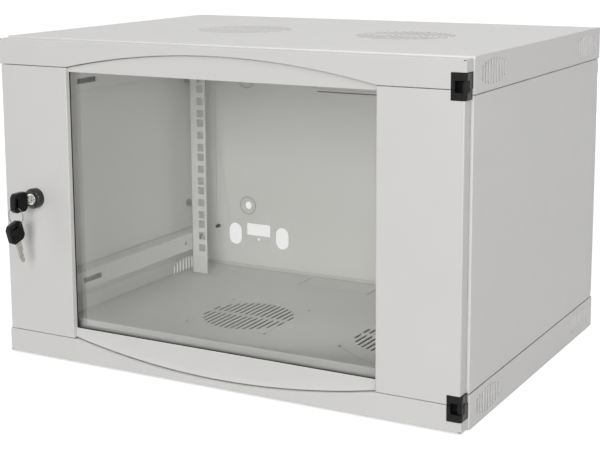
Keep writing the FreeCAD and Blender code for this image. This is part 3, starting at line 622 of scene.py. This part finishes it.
@dataclass
class Stock:
    """Every finish of the cabinet, made once."""

    made: dict[str, Material] = field(default_factory=dict)
    finishes: tuple[Finish, ...] = (
        PowderCoat("cabinet_paint", Tone.LIGHT_GREY),
        # Painted shade: the front frame gets a darker copy of the cabinet paint, with little
        # painted shade in its seams.
        PowderCoat("front_paint", Tone.SHADED_FRONT_GREY, roughness=0.38, crevice_shade=0.95),
        MouldedPlastic("hinge_plastic", Tone.MOULDED_BLACK, roughness=0.3, gloss=0.17),
        MouldedPlastic("rivet_plastic", Tone.MOULDED_BLACK),
        MouldedPlastic("bow_plastic", Tone.KEY_BLACK, roughness=0.28, gloss=0.2),
        MouldedPlastic("gasket_rubber", Tone.SEAL_AND_SHADE_BLACK, roughness=0.7),
        PlatedMetal("zinc_steel", Tone.ZINC, roughness=0.32),
        PlatedMetal("blade_nickel", Tone.NICKEL, roughness=0.22),
        PlatedMetal("plug_chrome", Tone.CHROME, roughness=0.12),
        PlatedMetal("ring_steel", Tone.DULL_CHROME, roughness=0.16),
        Lacquer("lock_black", Tone.LACQUER_BLACK),
        ClearPane("door_glass"),
        # Painted shade: dark grey for the sheets in the knock-out slits and the relief notches.
        MouldedPlastic("slot_shade_paint", Tone.SLOT_SHADE, roughness=0.6),
    )

    def dress(self) -> None:
        """Makes every finish and puts it on the solids of its slot."""
        for finish in self.finishes:
            self.made[finish.name] = finish.build()
        for part in frame["record"]["subparts"]:
            solid = frame["nodes"][part["node"]].data
            solid.materials.clear()
            solid.materials.append(self.made[part["material_slot"]])


# Objects, and meshes made from outlines and profiles.


def put(name: str, data: ID) -> Object:
    """Puts a new object in the scene.

    Args:
        name: Name of the object.
        data: Its mesh, curve, lamp or camera.

    Returns:
        The new object.
    """
    thing = bpy.data.objects.new(name, data)
    bpy.context.scene.collection.objects.link(thing)
    return thing


def settle(mesh: Mesh, angle: float = SHARP) -> Mesh:
    """Joins doubled points and shades a mesh smooth between its sharp edges.

    Args:
        mesh: Mesh to finish.
        angle: Smallest angle of a sharp edge, in degrees.

    Returns:
        The same mesh.
    """
    form = bmesh.new()
    form.from_mesh(mesh)
    bmesh.ops.remove_doubles(form, verts=form.verts, dist=SAME_POINT)
    bmesh.ops.recalc_face_normals(form, faces=form.faces)
    form.to_mesh(mesh)
    form.free()
    mesh.shade_smooth()
    mesh.set_sharp_from_angle(angle=math.radians(angle))
    return mesh


def rounded(corners: Loop, radius: float, steps: int = 5) -> Loop:
    """Rounds the corners of a closed outline.

    Args:
        corners: Corners of the outline in order.
        radius: Distance from a corner at which its round starts.
        steps: Number of stretches in each round.

    Returns:
        The rounded outline.
    """
    points = []
    longest = 0.45
    for index, corner in enumerate(corners):
        here = Vector(corner)
        before = Vector(corners[index - 1]) - here
        after = Vector(corners[(index + 1) % len(corners)]) - here
        start = here + before.normalized() * min(radius, before.length * longest)
        end = here + after.normalized() * min(radius, after.length * longest)
        for step in range(steps + 1):
            share = step / steps
            point = start.lerp(here, share).lerp(here.lerp(end, share), share)
            points.append((point.x, point.y))
    return points


def oblong(x: Span, y: Span, radius: float) -> Loop:
    """Outlines a rectangle with round corners.

    Args:
        x: Its span along the first axis.
        y: Its span along the second axis.
        radius: Size of its corners.

    Returns:
        Its outline, anticlockwise.
    """
    return rounded([(x[0], y[0]), (x[1], y[0]), (x[1], y[1]), (x[0], y[1])], radius)


def from_curve(curve: Curve) -> Mesh:
    """Turns a curve into a finished mesh.

    Args:
        curve: Curve to turn; it is used up.

    Returns:
        The mesh.
    """
    carrier = put("carrier", curve)
    view = bpy.context.evaluated_depsgraph_get()
    mesh = bpy.data.meshes.new_from_object(carrier.evaluated_get(view))
    bpy.data.objects.remove(carrier)
    bpy.data.curves.remove(curve)
    return settle(mesh)


def plate(outline: Loop, holes: list[Loop], gauge: float, edge: float) -> Mesh:
    """Makes a flat piece with rounded edges, centred on the plane of its outline.

    Args:
        outline: Outer outline, anticlockwise.
        holes: Outlines of the holes, anticlockwise.
        gauge: Thickness.
        edge: Size of the rounded edge.

    Returns:
        The mesh, with its thickness along Z.
    """
    curve = bpy.data.curves.new("plate", "CURVE")
    curve.dimensions, curve.fill_mode = "2D", "BOTH"
    curve.extrude, curve.bevel_depth = gauge / 2 - edge, edge
    curve.bevel_resolution, curve.offset = 2, -edge
    for loop in [outline] + [hole[::-1] for hole in holes]:
        spline = curve.splines.new("POLY")
        spline.points.add(len(loop) - 1)
        for point, (x, y) in zip(spline.points, loop):
            point.co = (x, y, 0.0, 1.0)
        spline.use_cyclic_u = True
    return from_curve(curve)


def tube(path: list[Vector], radius: float) -> Mesh:
    """Makes a round wire along a path.

    Args:
        path: Points of its centre line.
        radius: Radius of the wire.

    Returns:
        The mesh.
    """
    curve = bpy.data.curves.new("tube", "CURVE")
    curve.dimensions, curve.fill_mode = "3D", "FULL"
    curve.bevel_depth, curve.bevel_resolution, curve.use_fill_caps = radius, 3, True
    spline = curve.splines.new("POLY")
    spline.points.add(len(path) - 1)
    for point, place in zip(spline.points, path):
        point.co = (*place, 1.0)
    return from_curve(curve)


def lathe(profile: Loop, steps: int) -> Mesh:
    """Turns a profile about the Y axis.

    Args:
        profile: Points of (radius, place along the axis); the last joins the first.
        steps: Number of facets round the axis.

    Returns:
        The mesh.
    """
    form = bmesh.new()
    points = [form.verts.new((radius, along, 0.0)) for radius, along in profile]
    edges = [form.edges.new((points[i - 1], point)) for i, point in enumerate(points)]
    bmesh.ops.spin(
        form, geom=points + edges, cent=(0, 0, 0), axis=(0, 1, 0), angle=math.tau, steps=steps,
        use_merge=True,
    )
    mesh = bpy.data.meshes.new("lathe")
    form.to_mesh(mesh)
    form.free()
    return settle(mesh, TURNED_SHARP)


def joined(*meshes: Mesh) -> Mesh:
    """Puts several meshes in one.

    Args:
        *meshes: Meshes to join.

    Returns:
        The mesh of them all.
    """
    form = bmesh.new()
    for mesh in meshes:
        form.from_mesh(mesh)
    whole = bpy.data.meshes.new("joined")
    form.to_mesh(whole)
    form.free()
    whole.shade_smooth()
    whole.set_sharp_from_angle(angle=math.radians(SHARP))
    return whole


def upright(y: float) -> Matrix:
    """Stands a flat outline up to face the front.

    Args:
        y: Place of its middle plane.

    Returns:
        Where its own frame stands.
    """
    return Matrix.Translation((0.0, y, 0.0)) @ Matrix.Rotation(math.radians(90.0), 4, "X")


def show(
    name: str, mesh: Mesh, place: Matrix, material: Material, body: str,
    nodes: tuple[str, ...] = (),
) -> None:
    """Shows a piece on a body of the cabinet.

    Args:
        name: Name of the piece.
        mesh: Its mesh, in its own frame.
        place: Where its own frame stands.
        material: Its finish.
        body: Body that it moves with.
        nodes: Solids that it stands for.
    """
    mesh.transform(place)
    mesh.materials.clear()
    mesh.materials.append(material)
    piece = put(name, mesh)
    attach(piece, body)
    if nodes:
        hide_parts(*nodes)


# Sub-assemblies.


class SubAssembly(Protocol):
    """A group of pieces that is built as one."""

    def build(self, stock: Stock) -> None:
        """Shows the pieces."""


@dataclass
class Softening:
    """Small rounds on the edges of the cabinet's own solids."""

    folded: float = 0.45 * MM
    moulded: float = 0.5 * MM
    turned: float = 0.25 * MM
    weld: float = 0.005 * MM
    sharp: float = 50.0

    def soften(self, node: str, width: float) -> None:
        """Rounds the sharp edges of one solid.

        Args:
            node: Name of the solid.
            width: Width of the round.
        """
        piece = frame["nodes"][node]
        weld = piece.modifiers.new("weld", "WELD")
        weld.merge_threshold = self.weld
        bevel = piece.modifiers.new("bevel", "BEVEL")
        bevel.width, bevel.segments = width, 2
        bevel.limit_method, bevel.angle_limit = "ANGLE", math.radians(self.sharp)
        bevel.harden_normals = True

    def build(self, stock: Stock) -> None:
        """Rounds the panels, the mouldings and the turned hardware, but no hinge pin.

        Args:
            stock: The finishes, which stay as they are; not used.
        """
        widths = {
            "cabinet_paint": self.folded, "front_paint": self.folded,
            "hinge_plastic": self.moulded, "zinc_steel": self.turned,
        }
        for part in frame["record"]["subparts"]:
            node, slot = part["node"], part["material_slot"]
            if slot in widths and "pin" not in node:
                self.soften(node, widths[slot])


@dataclass
class Key:
    """A key: a moulded bow with a framed, ribbed grip on a grooved blade."""

    prefix: str
    body: str
    seat: Matrix
    ahead: float = 5 * MM
    behind: float = 17 * MM
    half: float = 10.5 * MM
    chamfer: float = 3.5 * MM
    narrowing: float = 0.4
    corner: float = 1.6 * MM
    gauge: float = 6 * MM
    rim: float = 1.5 * MM
    rim_edge: float = 0.5 * MM
    relief: float = 0.7 * MM
    edge: float = 0.3 * MM
    slot_width: float = 3.4 * MM
    slot_length: float = 11 * MM
    slot_corner: float = 1.3 * MM
    slot_rim: float = 1.1 * MM
    slot_edge: float = 0.35 * MM
    rib: float = 1.3 * MM
    rib_pitch: float = 2.8 * MM
    rib_end: float = 0.6 * MM
    ribs: int = 4
    reach: float = 25 * MM
    root: float = 2 * MM
    blade: float = 7.6 * MM
    blade_gauge: float = 2 * MM
    blade_corner: float = 0.5 * MM
    blade_edge: float = 0.15 * MM
    core_corner: float = 0.8 * MM
    core_edge: float = 0.1 * MM
    corner_steps: int = 3
    bites: int = 5
    groove: Span = (-1.5 * MM, -0.5 * MM)
    groove_corner: float = 0.4 * MM
    groove_start: float = 1 * MM
    groove_end: float = 3 * MM

    STAND: ClassVar[Matrix] = Matrix(((0, 0, 1, 0), (1, 0, 0, 0), (0, 1, 0, 0), (0, 0, 0, 1)))

    def outside(self, inset: float) -> Loop:
        """Outlines the bow.

        Args:
            inset: Distance by which the outline is moved in.

        Returns:
            The outline, anticlockwise.
        """
        front, back = -self.ahead + inset, self.behind - inset
        side, cut = self.half - inset, self.chamfer - inset * self.narrowing
        corners = [
            (front, -side + cut), (front + cut, -side), (back - cut, -side), (back, -side + cut),
            (back, side - cut), (back - cut, side), (front + cut, side), (front, side - cut),
        ]
        return rounded(corners, self.corner)

    def slot(self, grown: float) -> Loop:
        """Outlines the ring slot, grown by a distance."""
        x, y = self.slot_width / 2 + grown, self.slot_length / 2 + grown
        return oblong((-x, x), (-y, y), self.slot_corner + grown)

    def bow(self) -> Mesh:
        """Makes the moulded bow: a web, a rim, a rim round the slot and ribs.

        Returns:
            The mesh.
        """
        hole, web = self.slot(0.0), self.gauge - self.relief * 2
        parts = [
            plate(self.outside(self.edge), [hole], web, self.edge),
            plate(self.outside(0.0), [self.outside(self.rim)], self.gauge, self.rim_edge),
            plate(self.slot(self.slot_rim), [hole], self.gauge, self.slot_edge),
        ]
        first = self.slot_width / 2 + self.rib * 2
        span = self.half - self.rim - self.rib_end
        for number in range(self.ribs):
            start = first + self.rib_pitch * number
            bar = oblong((start, start + self.rib), (-span, span), self.rib_end)
            parts.append(plate(bar, [], self.gauge, self.edge))
        return joined(*parts)

    def blank(self) -> Mesh:
        """Makes the blade, with its bitting and a groove along both flats.

        Returns:
            The mesh.
        """
        half, tip, root = self.blade / 2, self.behind + self.reach, self.behind - self.root
        step, bite = self.reach / (self.bites * 2), self.blade / 8
        teeth = [
            (tip - step * number, half - bite * (2 - number % 2))
            for number in range(1, self.bites + 1)
        ]
        corners = [
            (root, -half), (tip - half, -half), (tip, -half / 2), (tip, half / 2), *teeth,
            (tip - step * self.bites, half), (root, half),
        ]
        run = (self.behind + self.groove_start, tip - self.groove_end)
        groove = oblong(run, self.groove, self.groove_corner)
        outline = rounded(corners, self.blade_corner, self.corner_steps)
        core = rounded(corners, self.core_corner, self.corner_steps)
        return joined(
            plate(outline, [groove], self.blade_gauge, self.blade_edge),
            plate(core, [], self.blade_gauge / 2, self.core_edge),
        )

    def build(self, stock: Stock) -> None:
        """Shows the key in place of its two solids.

        Args:
            stock: The finishes.
        """
        stand = self.seat @ self.STAND
        bow, blade = f"{self.prefix}_bow", f"{self.prefix}_blade"
        plastic, nickel = stock.made["bow_plastic"], stock.made["blade_nickel"]
        show(f"{bow}_moulding", self.bow(), stand, plastic, self.body, (bow,))
        show(f"{blade}_cut", self.blank(), stand, nickel, self.body, (blade,))


@dataclass
class KeySet:
    """The key in the lock, the split ring and the spare that hangs from it."""

    radius: float = 9.8 * MM
    wire: float = 0.33 * MM
    turns: float = 2.0
    steps: int = 144
    play: float = 0.3 * MM
    stock_wire: float = 0.6 * MM
    tilt: float = 18.0

    def ring(self) -> Mesh:
        """Makes the split ring, whose turns lie side by side.

        Returns:
            The mesh.
        """
        path = []
        for number in range(self.steps + 1):
            turn = math.tau * self.turns * number / self.steps
            point = Vector((math.sin(turn), 0.0, math.cos(turn))) * self.radius
            point.y = self.wire * (2.0 * number / self.steps - 1.0)
            path.append(point)
        return tube(path, self.wire)

    def build(self, stock: Stock) -> None:
        """Places both keys and the ring.

        Args:
            stock: The finishes.
        """
        low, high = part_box("key_bow")
        seat = Vector(((low.x + high.x) / 2, low.y + Key.ahead, (low.z + high.z) / 2))
        Key("key", "key", Matrix.Translation(seat)).build(stock)
        low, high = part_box("key_ring")
        middle = (low + high) / 2
        place, chrome = Matrix.Translation(middle), stock.made["ring_steel"]
        show("split_ring", self.ring(), place, chrome, "ring", ("key_ring",))
        sag = self.radius - math.sqrt(self.radius**2 - Key.gauge**2 / 4)
        used = self.stock_wire + sag + self.play
        hook = Vector((0.0, used - Key.slot_width / 2, Key.slot_length / 2 - used))
        turn = Matrix.Rotation(math.radians(self.tilt - 90.0), 4, "X")
        hang = middle - Vector((0.0, 0.0, self.radius)) - turn @ hook
        Key("spare", "spare_key", Matrix.Translation(hang) @ turn).build(stock)


@dataclass
class CamLock:
    """Cam lock in the left stile: domed bezel, threaded barrel and plug face."""

    face: float = 11 * MM
    proud: float = 9 * MM
    barrel: float = 9.4 * MM
    neck: float = 1.4 * MM
    thread: float = 1.25 * MM
    thread_depth: float = 0.55 * MM
    chamfer: float = 0.4 * MM
    bore: float = 6.05 * MM

    def housing(self, depth: float) -> Mesh:
        """Makes the bezel and barrel, with the door's face at 0.

        Args:
            depth: Length of the barrel behind the face of the door.

        Returns:
            The mesh.
        """
        profile = [
            (self.bore, -8.0 * MM), (self.bore + self.chamfer, -8.6 * MM),
            (7.1 * MM, -8.9 * MM), (7.8 * MM, -self.proud), (8.5 * MM, -8.9 * MM),
            (9.4 * MM, -8.35 * MM), (10.3 * MM, -7.65 * MM), (10.75 * MM, -7.0 * MM),
            (10.95 * MM, -6.1 * MM), (self.face, -4.8 * MM), (self.face, 0.0),
            (self.barrel, 0.0), (self.barrel, self.neck),
        ]
        along = self.neck
        while along + self.thread < depth:
            profile.append((self.barrel - self.thread_depth, along + self.thread * 0.5))
            profile.append((self.barrel, along + self.thread * 0.95))
            along += self.thread
        profile += [(self.barrel - self.chamfer, depth), (self.bore, depth)]
        return lathe(profile, 96)

    def rim(self) -> Mesh:
        """Makes the bright rim round the plug's keyway.

        Returns:
            The mesh.
        """
        inner, outer, back, top = 4.5 * MM, 5.9 * MM, -8.8 * MM, -9.35 * MM
        profile = [
            (inner, -self.proud), (inner + 0.2 * MM, top), (outer - 0.4 * MM, top),
            (outer, -9.1 * MM), (outer, back), (inner, back),
        ]
        return lathe(profile, 72)

    def build(self, stock: Stock) -> None:
        """Shows the lock.

        Args:
            stock: The finishes.
        """
        low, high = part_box("lock_housing")
        middle = Vector(((low.x + high.x) / 2, low.y + self.proud, (low.z + high.z) / 2))
        seat = Matrix.Translation(middle)
        body, lacquer = self.housing(high.y - middle.y), stock.made["lock_black"]
        show("lock_bezel", body, seat, lacquer, "door", ("lock_housing",))
        show("plug_rim", self.rim(), seat, stock.made["plug_chrome"], "lock_plug")


@dataclass
class Rivets:
    """Push rivets that hold the rear panel's corner strips."""

    head: float = 2.3 * MM
    neck: float = 1.3 * MM

    def profile(self, length: float) -> Loop:
        """Section of a rivet: a collar, a neck and a domed head.

        Args:
            length: Length of the rivet.

        Returns:
            The profile, from the panel to the head.
        """
        collar = length / 3
        return [
            (0.0, 0.0), (self.head, 0.0), (self.head, -collar * 0.7),
            (self.neck, -collar), (self.neck, -collar * 1.9),
            (self.head * 0.9, -collar * 2.0), (self.head, -collar * 2.3),
            (self.head * 0.85, -collar * 2.75), (self.head * 0.45, -length), (0.0, -length),
        ]

    def build(self, stock: Stock) -> None:
        """Shows both rivets.

        Args:
            stock: The finishes.
        """
        for side in ("left", "right"):
            node = f"push_rivet_{side}"
            low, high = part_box(node)
            seat = Matrix.Translation(((low.x + high.x) / 2, high.y, (low.z + high.z) / 2))
            mesh, plastic = lathe(self.profile(high.y - low.y), 48), stock.made["rivet_plastic"]
            show(f"{node}_domed", mesh, seat, plastic, "cabinet", (node,))


@dataclass
class KnockOuts:
    """Dark webs of painted shade in the slits of the rear panel's knock-outs, and pressed steps
    along the slits.
    """

    half: float = 99 * MM
    sill: float = 74 * MM
    rise: float = 36 * MM
    tab: float = 5 * MM
    slit: float = 1.2 * MM
    web: float = 0.5 * MM
    web_back: float = 0.85 * MM
    web_corner: float = 0.1 * MM
    web_edge: float = 0.05 * MM
    step: Span = (0.8 * MM, 3.4 * MM)
    step_proud: float = 0.6 * MM
    step_inset: float = 1 * MM
    step_corner: float = 1.2 * MM
    step_edge: float = 0.3 * MM

    def webs(self) -> Mesh:
        """Makes a dark web of painted shade for each slit.

        Returns:
            The mesh, flat.
        """
        runs = []
        for side in (-1, 1):
            left, right = sorted((self.tab * side, (self.half - self.tab) * side))
            runs.append(((left, right), (self.sill - self.slit / 2, self.sill + self.slit / 2)))
            edge = self.half * side
            tall = (self.sill + self.tab, self.sill + self.rise)
            runs.append(((edge - self.slit / 2, edge + self.slit / 2), tall))
        return joined(*(
            plate(oblong(x, z, self.web_corner), [], self.web, self.web_edge) for x, z in runs
        ))

    def steps(self) -> Mesh:
        """Makes the pressed step above each long slit.

        Returns:
            The mesh, flat.
        """
        low, high = (self.sill + edge for edge in self.step)
        meshes = []
        for side in (-1, 1):
            ends = ((self.tab + self.step_inset) * side, (self.half - self.tab) * side)
            outline = oblong((min(ends), max(ends)), (low, high), self.step_corner)
            meshes.append(plate(outline, [], self.step_proud * 2, self.step_edge))
        return joined(*meshes)

    def build(self, stock: Stock) -> None:
        """Fills each slit with a dark web of painted shade and shows the steps beside it.

        Args:
            stock: The finishes.
        """
        low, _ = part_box("rear_panel")
        slot_shade, paint = stock.made["slot_shade_paint"], stock.made["cabinet_paint"]
        # The webs are dark sheets of painted shade in the slits.
        show("knockout_webs", self.webs(), upright(low.y + self.web_back), slot_shade, "cabinet")
        show("knockout_steps", self.steps(), upright(low.y), paint, "cabinet")


@dataclass
class PadRims:
    """Coined rims round the fixing holes, inside the pressed pads of the rear panel."""

    hole: float = 5.1 * MM
    lip: float = 6.4 * MM
    bend: float = 0.5 * MM
    trough: float = 8.2 * MM
    edge: float = 11.2 * MM
    slope: float = 1.6 * MM
    floor: float = 1.2 * MM
    height: float = 1.3 * MM
    sunk: float = 0.15 * MM

    def profile(self) -> Loop:
        """Section of a rim: a lip round the hole, a trough and a raised edge.

        Returns:
            The profile.
        """
        low, top = -self.floor + self.sunk, -self.floor - self.height
        return [
            (self.hole, low), (self.hole, top * 0.75), (self.lip - self.bend, top * 0.85),
            (self.lip, top * 0.75), (self.lip + self.bend, top * 0.55),
            (self.trough, top * 0.55), (self.edge - self.slope, top * 0.95),
            (self.edge - self.bend, top), (self.edge, top * 0.85), (self.edge, low),
        ]

    def build(self, stock: Stock) -> None:
        """Shows a rim in each pad.

        Args:
            stock: The finishes.
        """
        _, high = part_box("rear_panel")
        pattern = next(m for m in frame["record"]["mounts"] if m["name"] == "wall_holes")
        across, rise = (pattern["dims"][f"spacing_{axis}_mm"] * MM / 2 for axis in "xy")
        rims = []
        for x in (-across, across):
            for z in (-rise, rise):
                rim = lathe(self.profile(), 48)
                rim.transform(Matrix.Translation((x, high.y, z)))
                rims.append(rim)
        paint = stock.made["cabinet_paint"]
        show("pad_rims", joined(*rims), Matrix.Identity(4), paint, "cabinet")


@dataclass
class ArchReturns:
    """Returns folded back from the arched edges of the two fasciae."""

    rise: float = 19 * MM
    gauge: float = 1.2 * MM
    margin: float = 1 * MM
    start: float = 1.0 * MM
    end: float = 5.6 * MM
    edge: float = 0.12 * MM
    steps: int = 60

    def section(self, half: float, seam: float, side: int) -> Loop:
        """Section of a return across the front.

        Args:
            half: Half the span of the arch.
            seam: Level at which the arch starts.
            side: 1 for an arch that rises, and -1 for one that falls.

        Returns:
            Its outline, anticlockwise.
        """
        radius = (half**2 + self.rise**2) / (self.rise * 2)
        arch = []
        for step in range(self.steps + 1):
            x = (half - self.margin) * (2 * step / self.steps - 1)
            arch.append((x, seam + side * (math.sqrt(radius**2 - x**2) - radius + self.rise)))
        loop = arch + [(x, z + side * self.gauge) for x, z in reversed(arch)]
        return loop[::side]

    def build(self, stock: Stock) -> None:
        """Shows a return on each fascia.

        Args:
            stock: The finishes.
        """
        for level, side in (("top", 1), ("bottom", -1)):
            low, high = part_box(f"{level}_fascia")
            seam = low.z if side > 0 else high.z
            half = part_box(f"door_rail_{level}")[1].x
            outline = self.section(half, seam, side)
            mesh = plate(outline, [], self.end - self.start, self.edge)
            place = upright(low.y + (self.start + self.end) / 2)
            show(f"arch_return_{level}", mesh, place, stock.made["front_paint"], "cabinet")


@dataclass
class ReliefShades:
    """Dark patches of painted shade that stand for small bend reliefs at the outer corners of
    the two fasciae.
    """

    width: float = 2.6 * MM
    rise: float = 0.9 * MM
    inset: float = 1.6 * MM
    proud: float = 0.05 * MM
    corner: float = 0.5 * MM

    def build(self, stock: Stock) -> None:
        """Shows a dark patch of painted shade for one relief at each outer corner.

        Args:
            stock: The finishes.
        """
        cuts = []
        for fascia, side in (("top_fascia", 1), ("bottom_fascia", -1)):
            low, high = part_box(fascia)
            z = high.z - self.rise if side > 0 else low.z + self.rise
            tall = (z - self.rise / 2, z + self.rise / 2)
            for x in (low.x + self.inset, high.x - self.inset):
                outline = oblong((x - self.width / 2, x + self.width / 2), tall, self.corner)
                # Each patch is a dark sheet of painted shade, a hair proud of the fascia.
                cuts.append(plate(outline, [], self.proud * 2, self.proud * 0.3))
        show("relief_shades", joined(*cuts), upright(low.y), stock.made["slot_shade_paint"], "cabinet")


@dataclass
class RetainerScrews:
    """Pan head screws that hold the glass retainers."""

    head: float = 2.6 * MM
    proud: float = 0.9 * MM
    sunk: float = 0.3 * MM
    inset: float = 30 * MM
    edge: float = 6 * MM

    def profile(self) -> Loop:
        """Section of a head with a recess.

        Returns:
            The profile.
        """
        return [
            (0.0, -self.sunk), (self.head, -self.sunk), (self.head, self.proud * 0.35),
            (self.head * 0.8, self.proud * 0.85), (self.head * 0.4, self.proud),
            (self.head * 0.25, self.proud * 0.4), (0.0, self.proud * 0.4),
        ]

    def build(self, stock: Stock) -> None:
        """Shows three screws on each retainer.

        Args:
            stock: The finishes.
        """
        heads = []
        for side in ("left", "right"):
            low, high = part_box(f"glass_retainer_{side}")
            outer = low.x + self.edge if side == "left" else high.x - self.edge
            for z in (low.z + self.inset, (low.z + high.z) / 2, high.z - self.inset):
                head = lathe(self.profile(), 32)
                head.transform(Matrix.Translation((outer, high.y, z)))
                heads.append(head)
        zinc = stock.made["zinc_steel"]
        show("retainer_screws", joined(*heads), Matrix.Identity(4), zinc, "door")


# Studio.


@dataclass(frozen=True)
class SoftBox:
    """A square lamp that faces a point."""

    name: str
    place: Place
    target: Place
    width: float
    power: float
    glint: bool = True

    def build(self) -> None:
        """Adds the lamp."""
        data = bpy.data.lights.new(self.name, "AREA")
        data.shape, data.size, data.energy = "SQUARE", self.width, self.power
        box = put(self.name, data)
        place = Vector(self.place)
        aim = (Vector(self.target) - place).to_track_quat("-Z", "Y")
        box.matrix_world = Matrix.Translation(place) @ aim.to_matrix().to_4x4()
        box.visible_camera = False
        box.visible_glossy = self.glint


@dataclass(frozen=True)
class FarLight:
    """A far soft light, without a glint, that reaches the inside as well as the door."""

    azimuth: float = 18.0
    elevation: float = 11.5
    strength: float = 1.5
    width: float = 22.0

    def build(self) -> None:
        """Adds the light."""
        data = bpy.data.lights.new("far_light", "SUN")
        data.energy, data.angle = self.strength, math.radians(self.width)
        far = put("far_light", data)
        far.visible_glossy = False
        turn = Matrix.Rotation(math.radians(self.azimuth), 4, "Z")
        far.matrix_world = turn @ Matrix.Rotation(math.radians(90.0 - self.elevation), 4, "X")


@dataclass
class Studio:
    """Camera, lamps, pale floor and white surroundings."""

    spot: Place = (0.7105, -1.5030, 0.2823)
    yaw: float = 28.97
    pitch: float = 9.60
    roll: float = -0.30
    lens: float = 80.5
    shift: float = -0.12
    glow: Span = (0.20, 0.24)
    sheet: float = 0.2 * MM
    sheet_edge: float = 0.05 * MM
    ground_drop: float = 0.3 * MM
    ground_margin: float = 8 * MM
    floor_drop: float = 0.6 * MM
    floor_half: float = 20.0
    floor_corner: float = 1.0
    lamps: tuple[SoftBox, ...] = (
        SoftBox("left_box", (-1.9, -2.1, 0.4), (-0.1, -0.4, 0.0), 0.7, 2.5),
        SoftBox("right_box", (1.6, -2.0, 0.5), (0.0, -0.2, 0.0), 0.7, 6.0),
        SoftBox("top_box", (0.0, 0.1, 2.2), (0.0, -0.1, 0.0), 1.3, 11.0),
        SoftBox("side_box", (1.4, -1.0, 0.85), (0.27, -0.2, 0.1), 0.5, 3.6),
        SoftBox("back_box", (-1.0, 2.6, -0.02), (0.0, 0.0, 0.0), 0.28, 22.0, glint=False),
        SoftBox("spark_box", (0.5, -2.6, 1.6), (0.0, -0.4, 0.0), 0.5, 7.0),
        SoftBox("fill", (0.05, -0.34, 0.0), (-0.06, 0.0, 0.08), 0.18, 0.23),
    )

    def camera(self) -> None:
        """Sets the camera in front on the right, a little above the cabinet."""
        data = bpy.data.cameras.new("camera")
        data.lens = self.lens
        data.sensor_width = 36.0
        data.shift_y = self.shift
        data.clip_start, data.clip_end = 0.01, 50.0
        eye = put("camera", data)
        turn = Matrix.Rotation(math.radians(self.yaw), 4, "Z")
        tip = Matrix.Rotation(math.radians(90.0 - self.pitch), 4, "X")
        lean = Matrix.Rotation(math.radians(self.roll), 4, "Z")
        eye.matrix_world = Matrix.Translation(self.spot) @ turn @ tip @ lean
        bpy.context.scene.camera = eye

    def surround(self) -> None:
        """Makes the world white to the eye, and its own light weak and softly graded."""
        world = bpy.data.worlds.new("white")
        world.use_nodes = True
        bpy.context.scene.world = world
        sky = Nodes(world.node_tree)
        split = sky.add("ShaderNodeSeparateXYZ")
        sky.feed(split.inputs[0], sky.add("ShaderNodeTexCoord").outputs["Generated"])
        soft, white = sky.add("ShaderNodeBackground"), sky.add("ShaderNodeBackground")
        for back in (soft, white):
            sky.feed(back.inputs["Color"], (1.0, 1.0, 1.0))
        strength = sky.spread(split.outputs["Z"], *self.glow, (-1.0, 1.0))
        sky.feed(soft.inputs["Strength"], strength)
        out = sky.add("ShaderNodeOutputWorld")
        sky.feed(out.inputs["Surface"], sky.mixed(sky.looked_at(), soft, white))

    def lay(self, name: str, outline: Loop, drop: float, finish: Finish) -> None:
        """Lays a thin sheet of stage under the cabinet.

        Args:
            name: Name of the sheet.
            outline: Its outline.
            drop: Distance below the base.
            finish: Its finish.
        """
        low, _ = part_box("bottom_panel")
        mesh = plate(outline, [], self.sheet, self.sheet_edge)
        mesh.transform(Matrix.Translation((0.0, 0.0, low.z - drop)))
        mesh.materials.append(finish.build())
        put(name, mesh)

    def floor(self) -> None:
        """Adds the pale floor, and a dark ground sheet of painted shade under the base that
        shows through its vents.
        """
        low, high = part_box("bottom_panel")
        margin = self.ground_margin
        x, y = (low.x + margin, high.x - margin), (low.y + margin, high.y - margin)
        # Painted shade: a dark sheet under the base, seen through its vents.
        rubber = MouldedPlastic("ground", Tone.SEAL_AND_SHADE_BLACK, roughness=0.9)
        self.lay("ground", oblong(x, y, margin), self.ground_drop, rubber)
        span = (-self.floor_half, self.floor_half)
        outline = oblong(span, span, self.floor_corner)
        self.lay("pale_floor", outline, self.floor_drop, PaleFloor("pale_floor"))

    def build(self) -> None:
        """Sets up the whole studio."""
        self.camera()
        self.floor()
        self.surround()
        FarLight().build()
        for lamp in self.lamps:
            lamp.build()
        bpy.context.scene.view_settings.view_transform = "Standard"


def main() -> None:
    """Builds the looks in order and reports each piece."""
    logging.basicConfig(level=logging.INFO, format="%(name)s: %(message)s")
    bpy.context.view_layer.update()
    stock = Stock()
    stock.dress()
    LOG.info("finishes on %d solids", len(frame["nodes"]))
    pieces: tuple[tuple[str, SubAssembly], ...] = (
        ("soft edges", Softening()), ("keys and ring", KeySet()), ("cam lock", CamLock()),
        ("rivets", Rivets()), ("knock-outs", KnockOuts()), ("pad rims", PadRims()),
        ("arch returns", ArchReturns()), ("relief cuts", ReliefShades()),
        ("retainer screws", RetainerScrews()),
    )
    for name, piece in pieces:
        piece.build(stock)
        LOG.info("%s built", name)
    Studio().build()
    LOG.info("studio set")


if __name__ == "__main__":
    main()
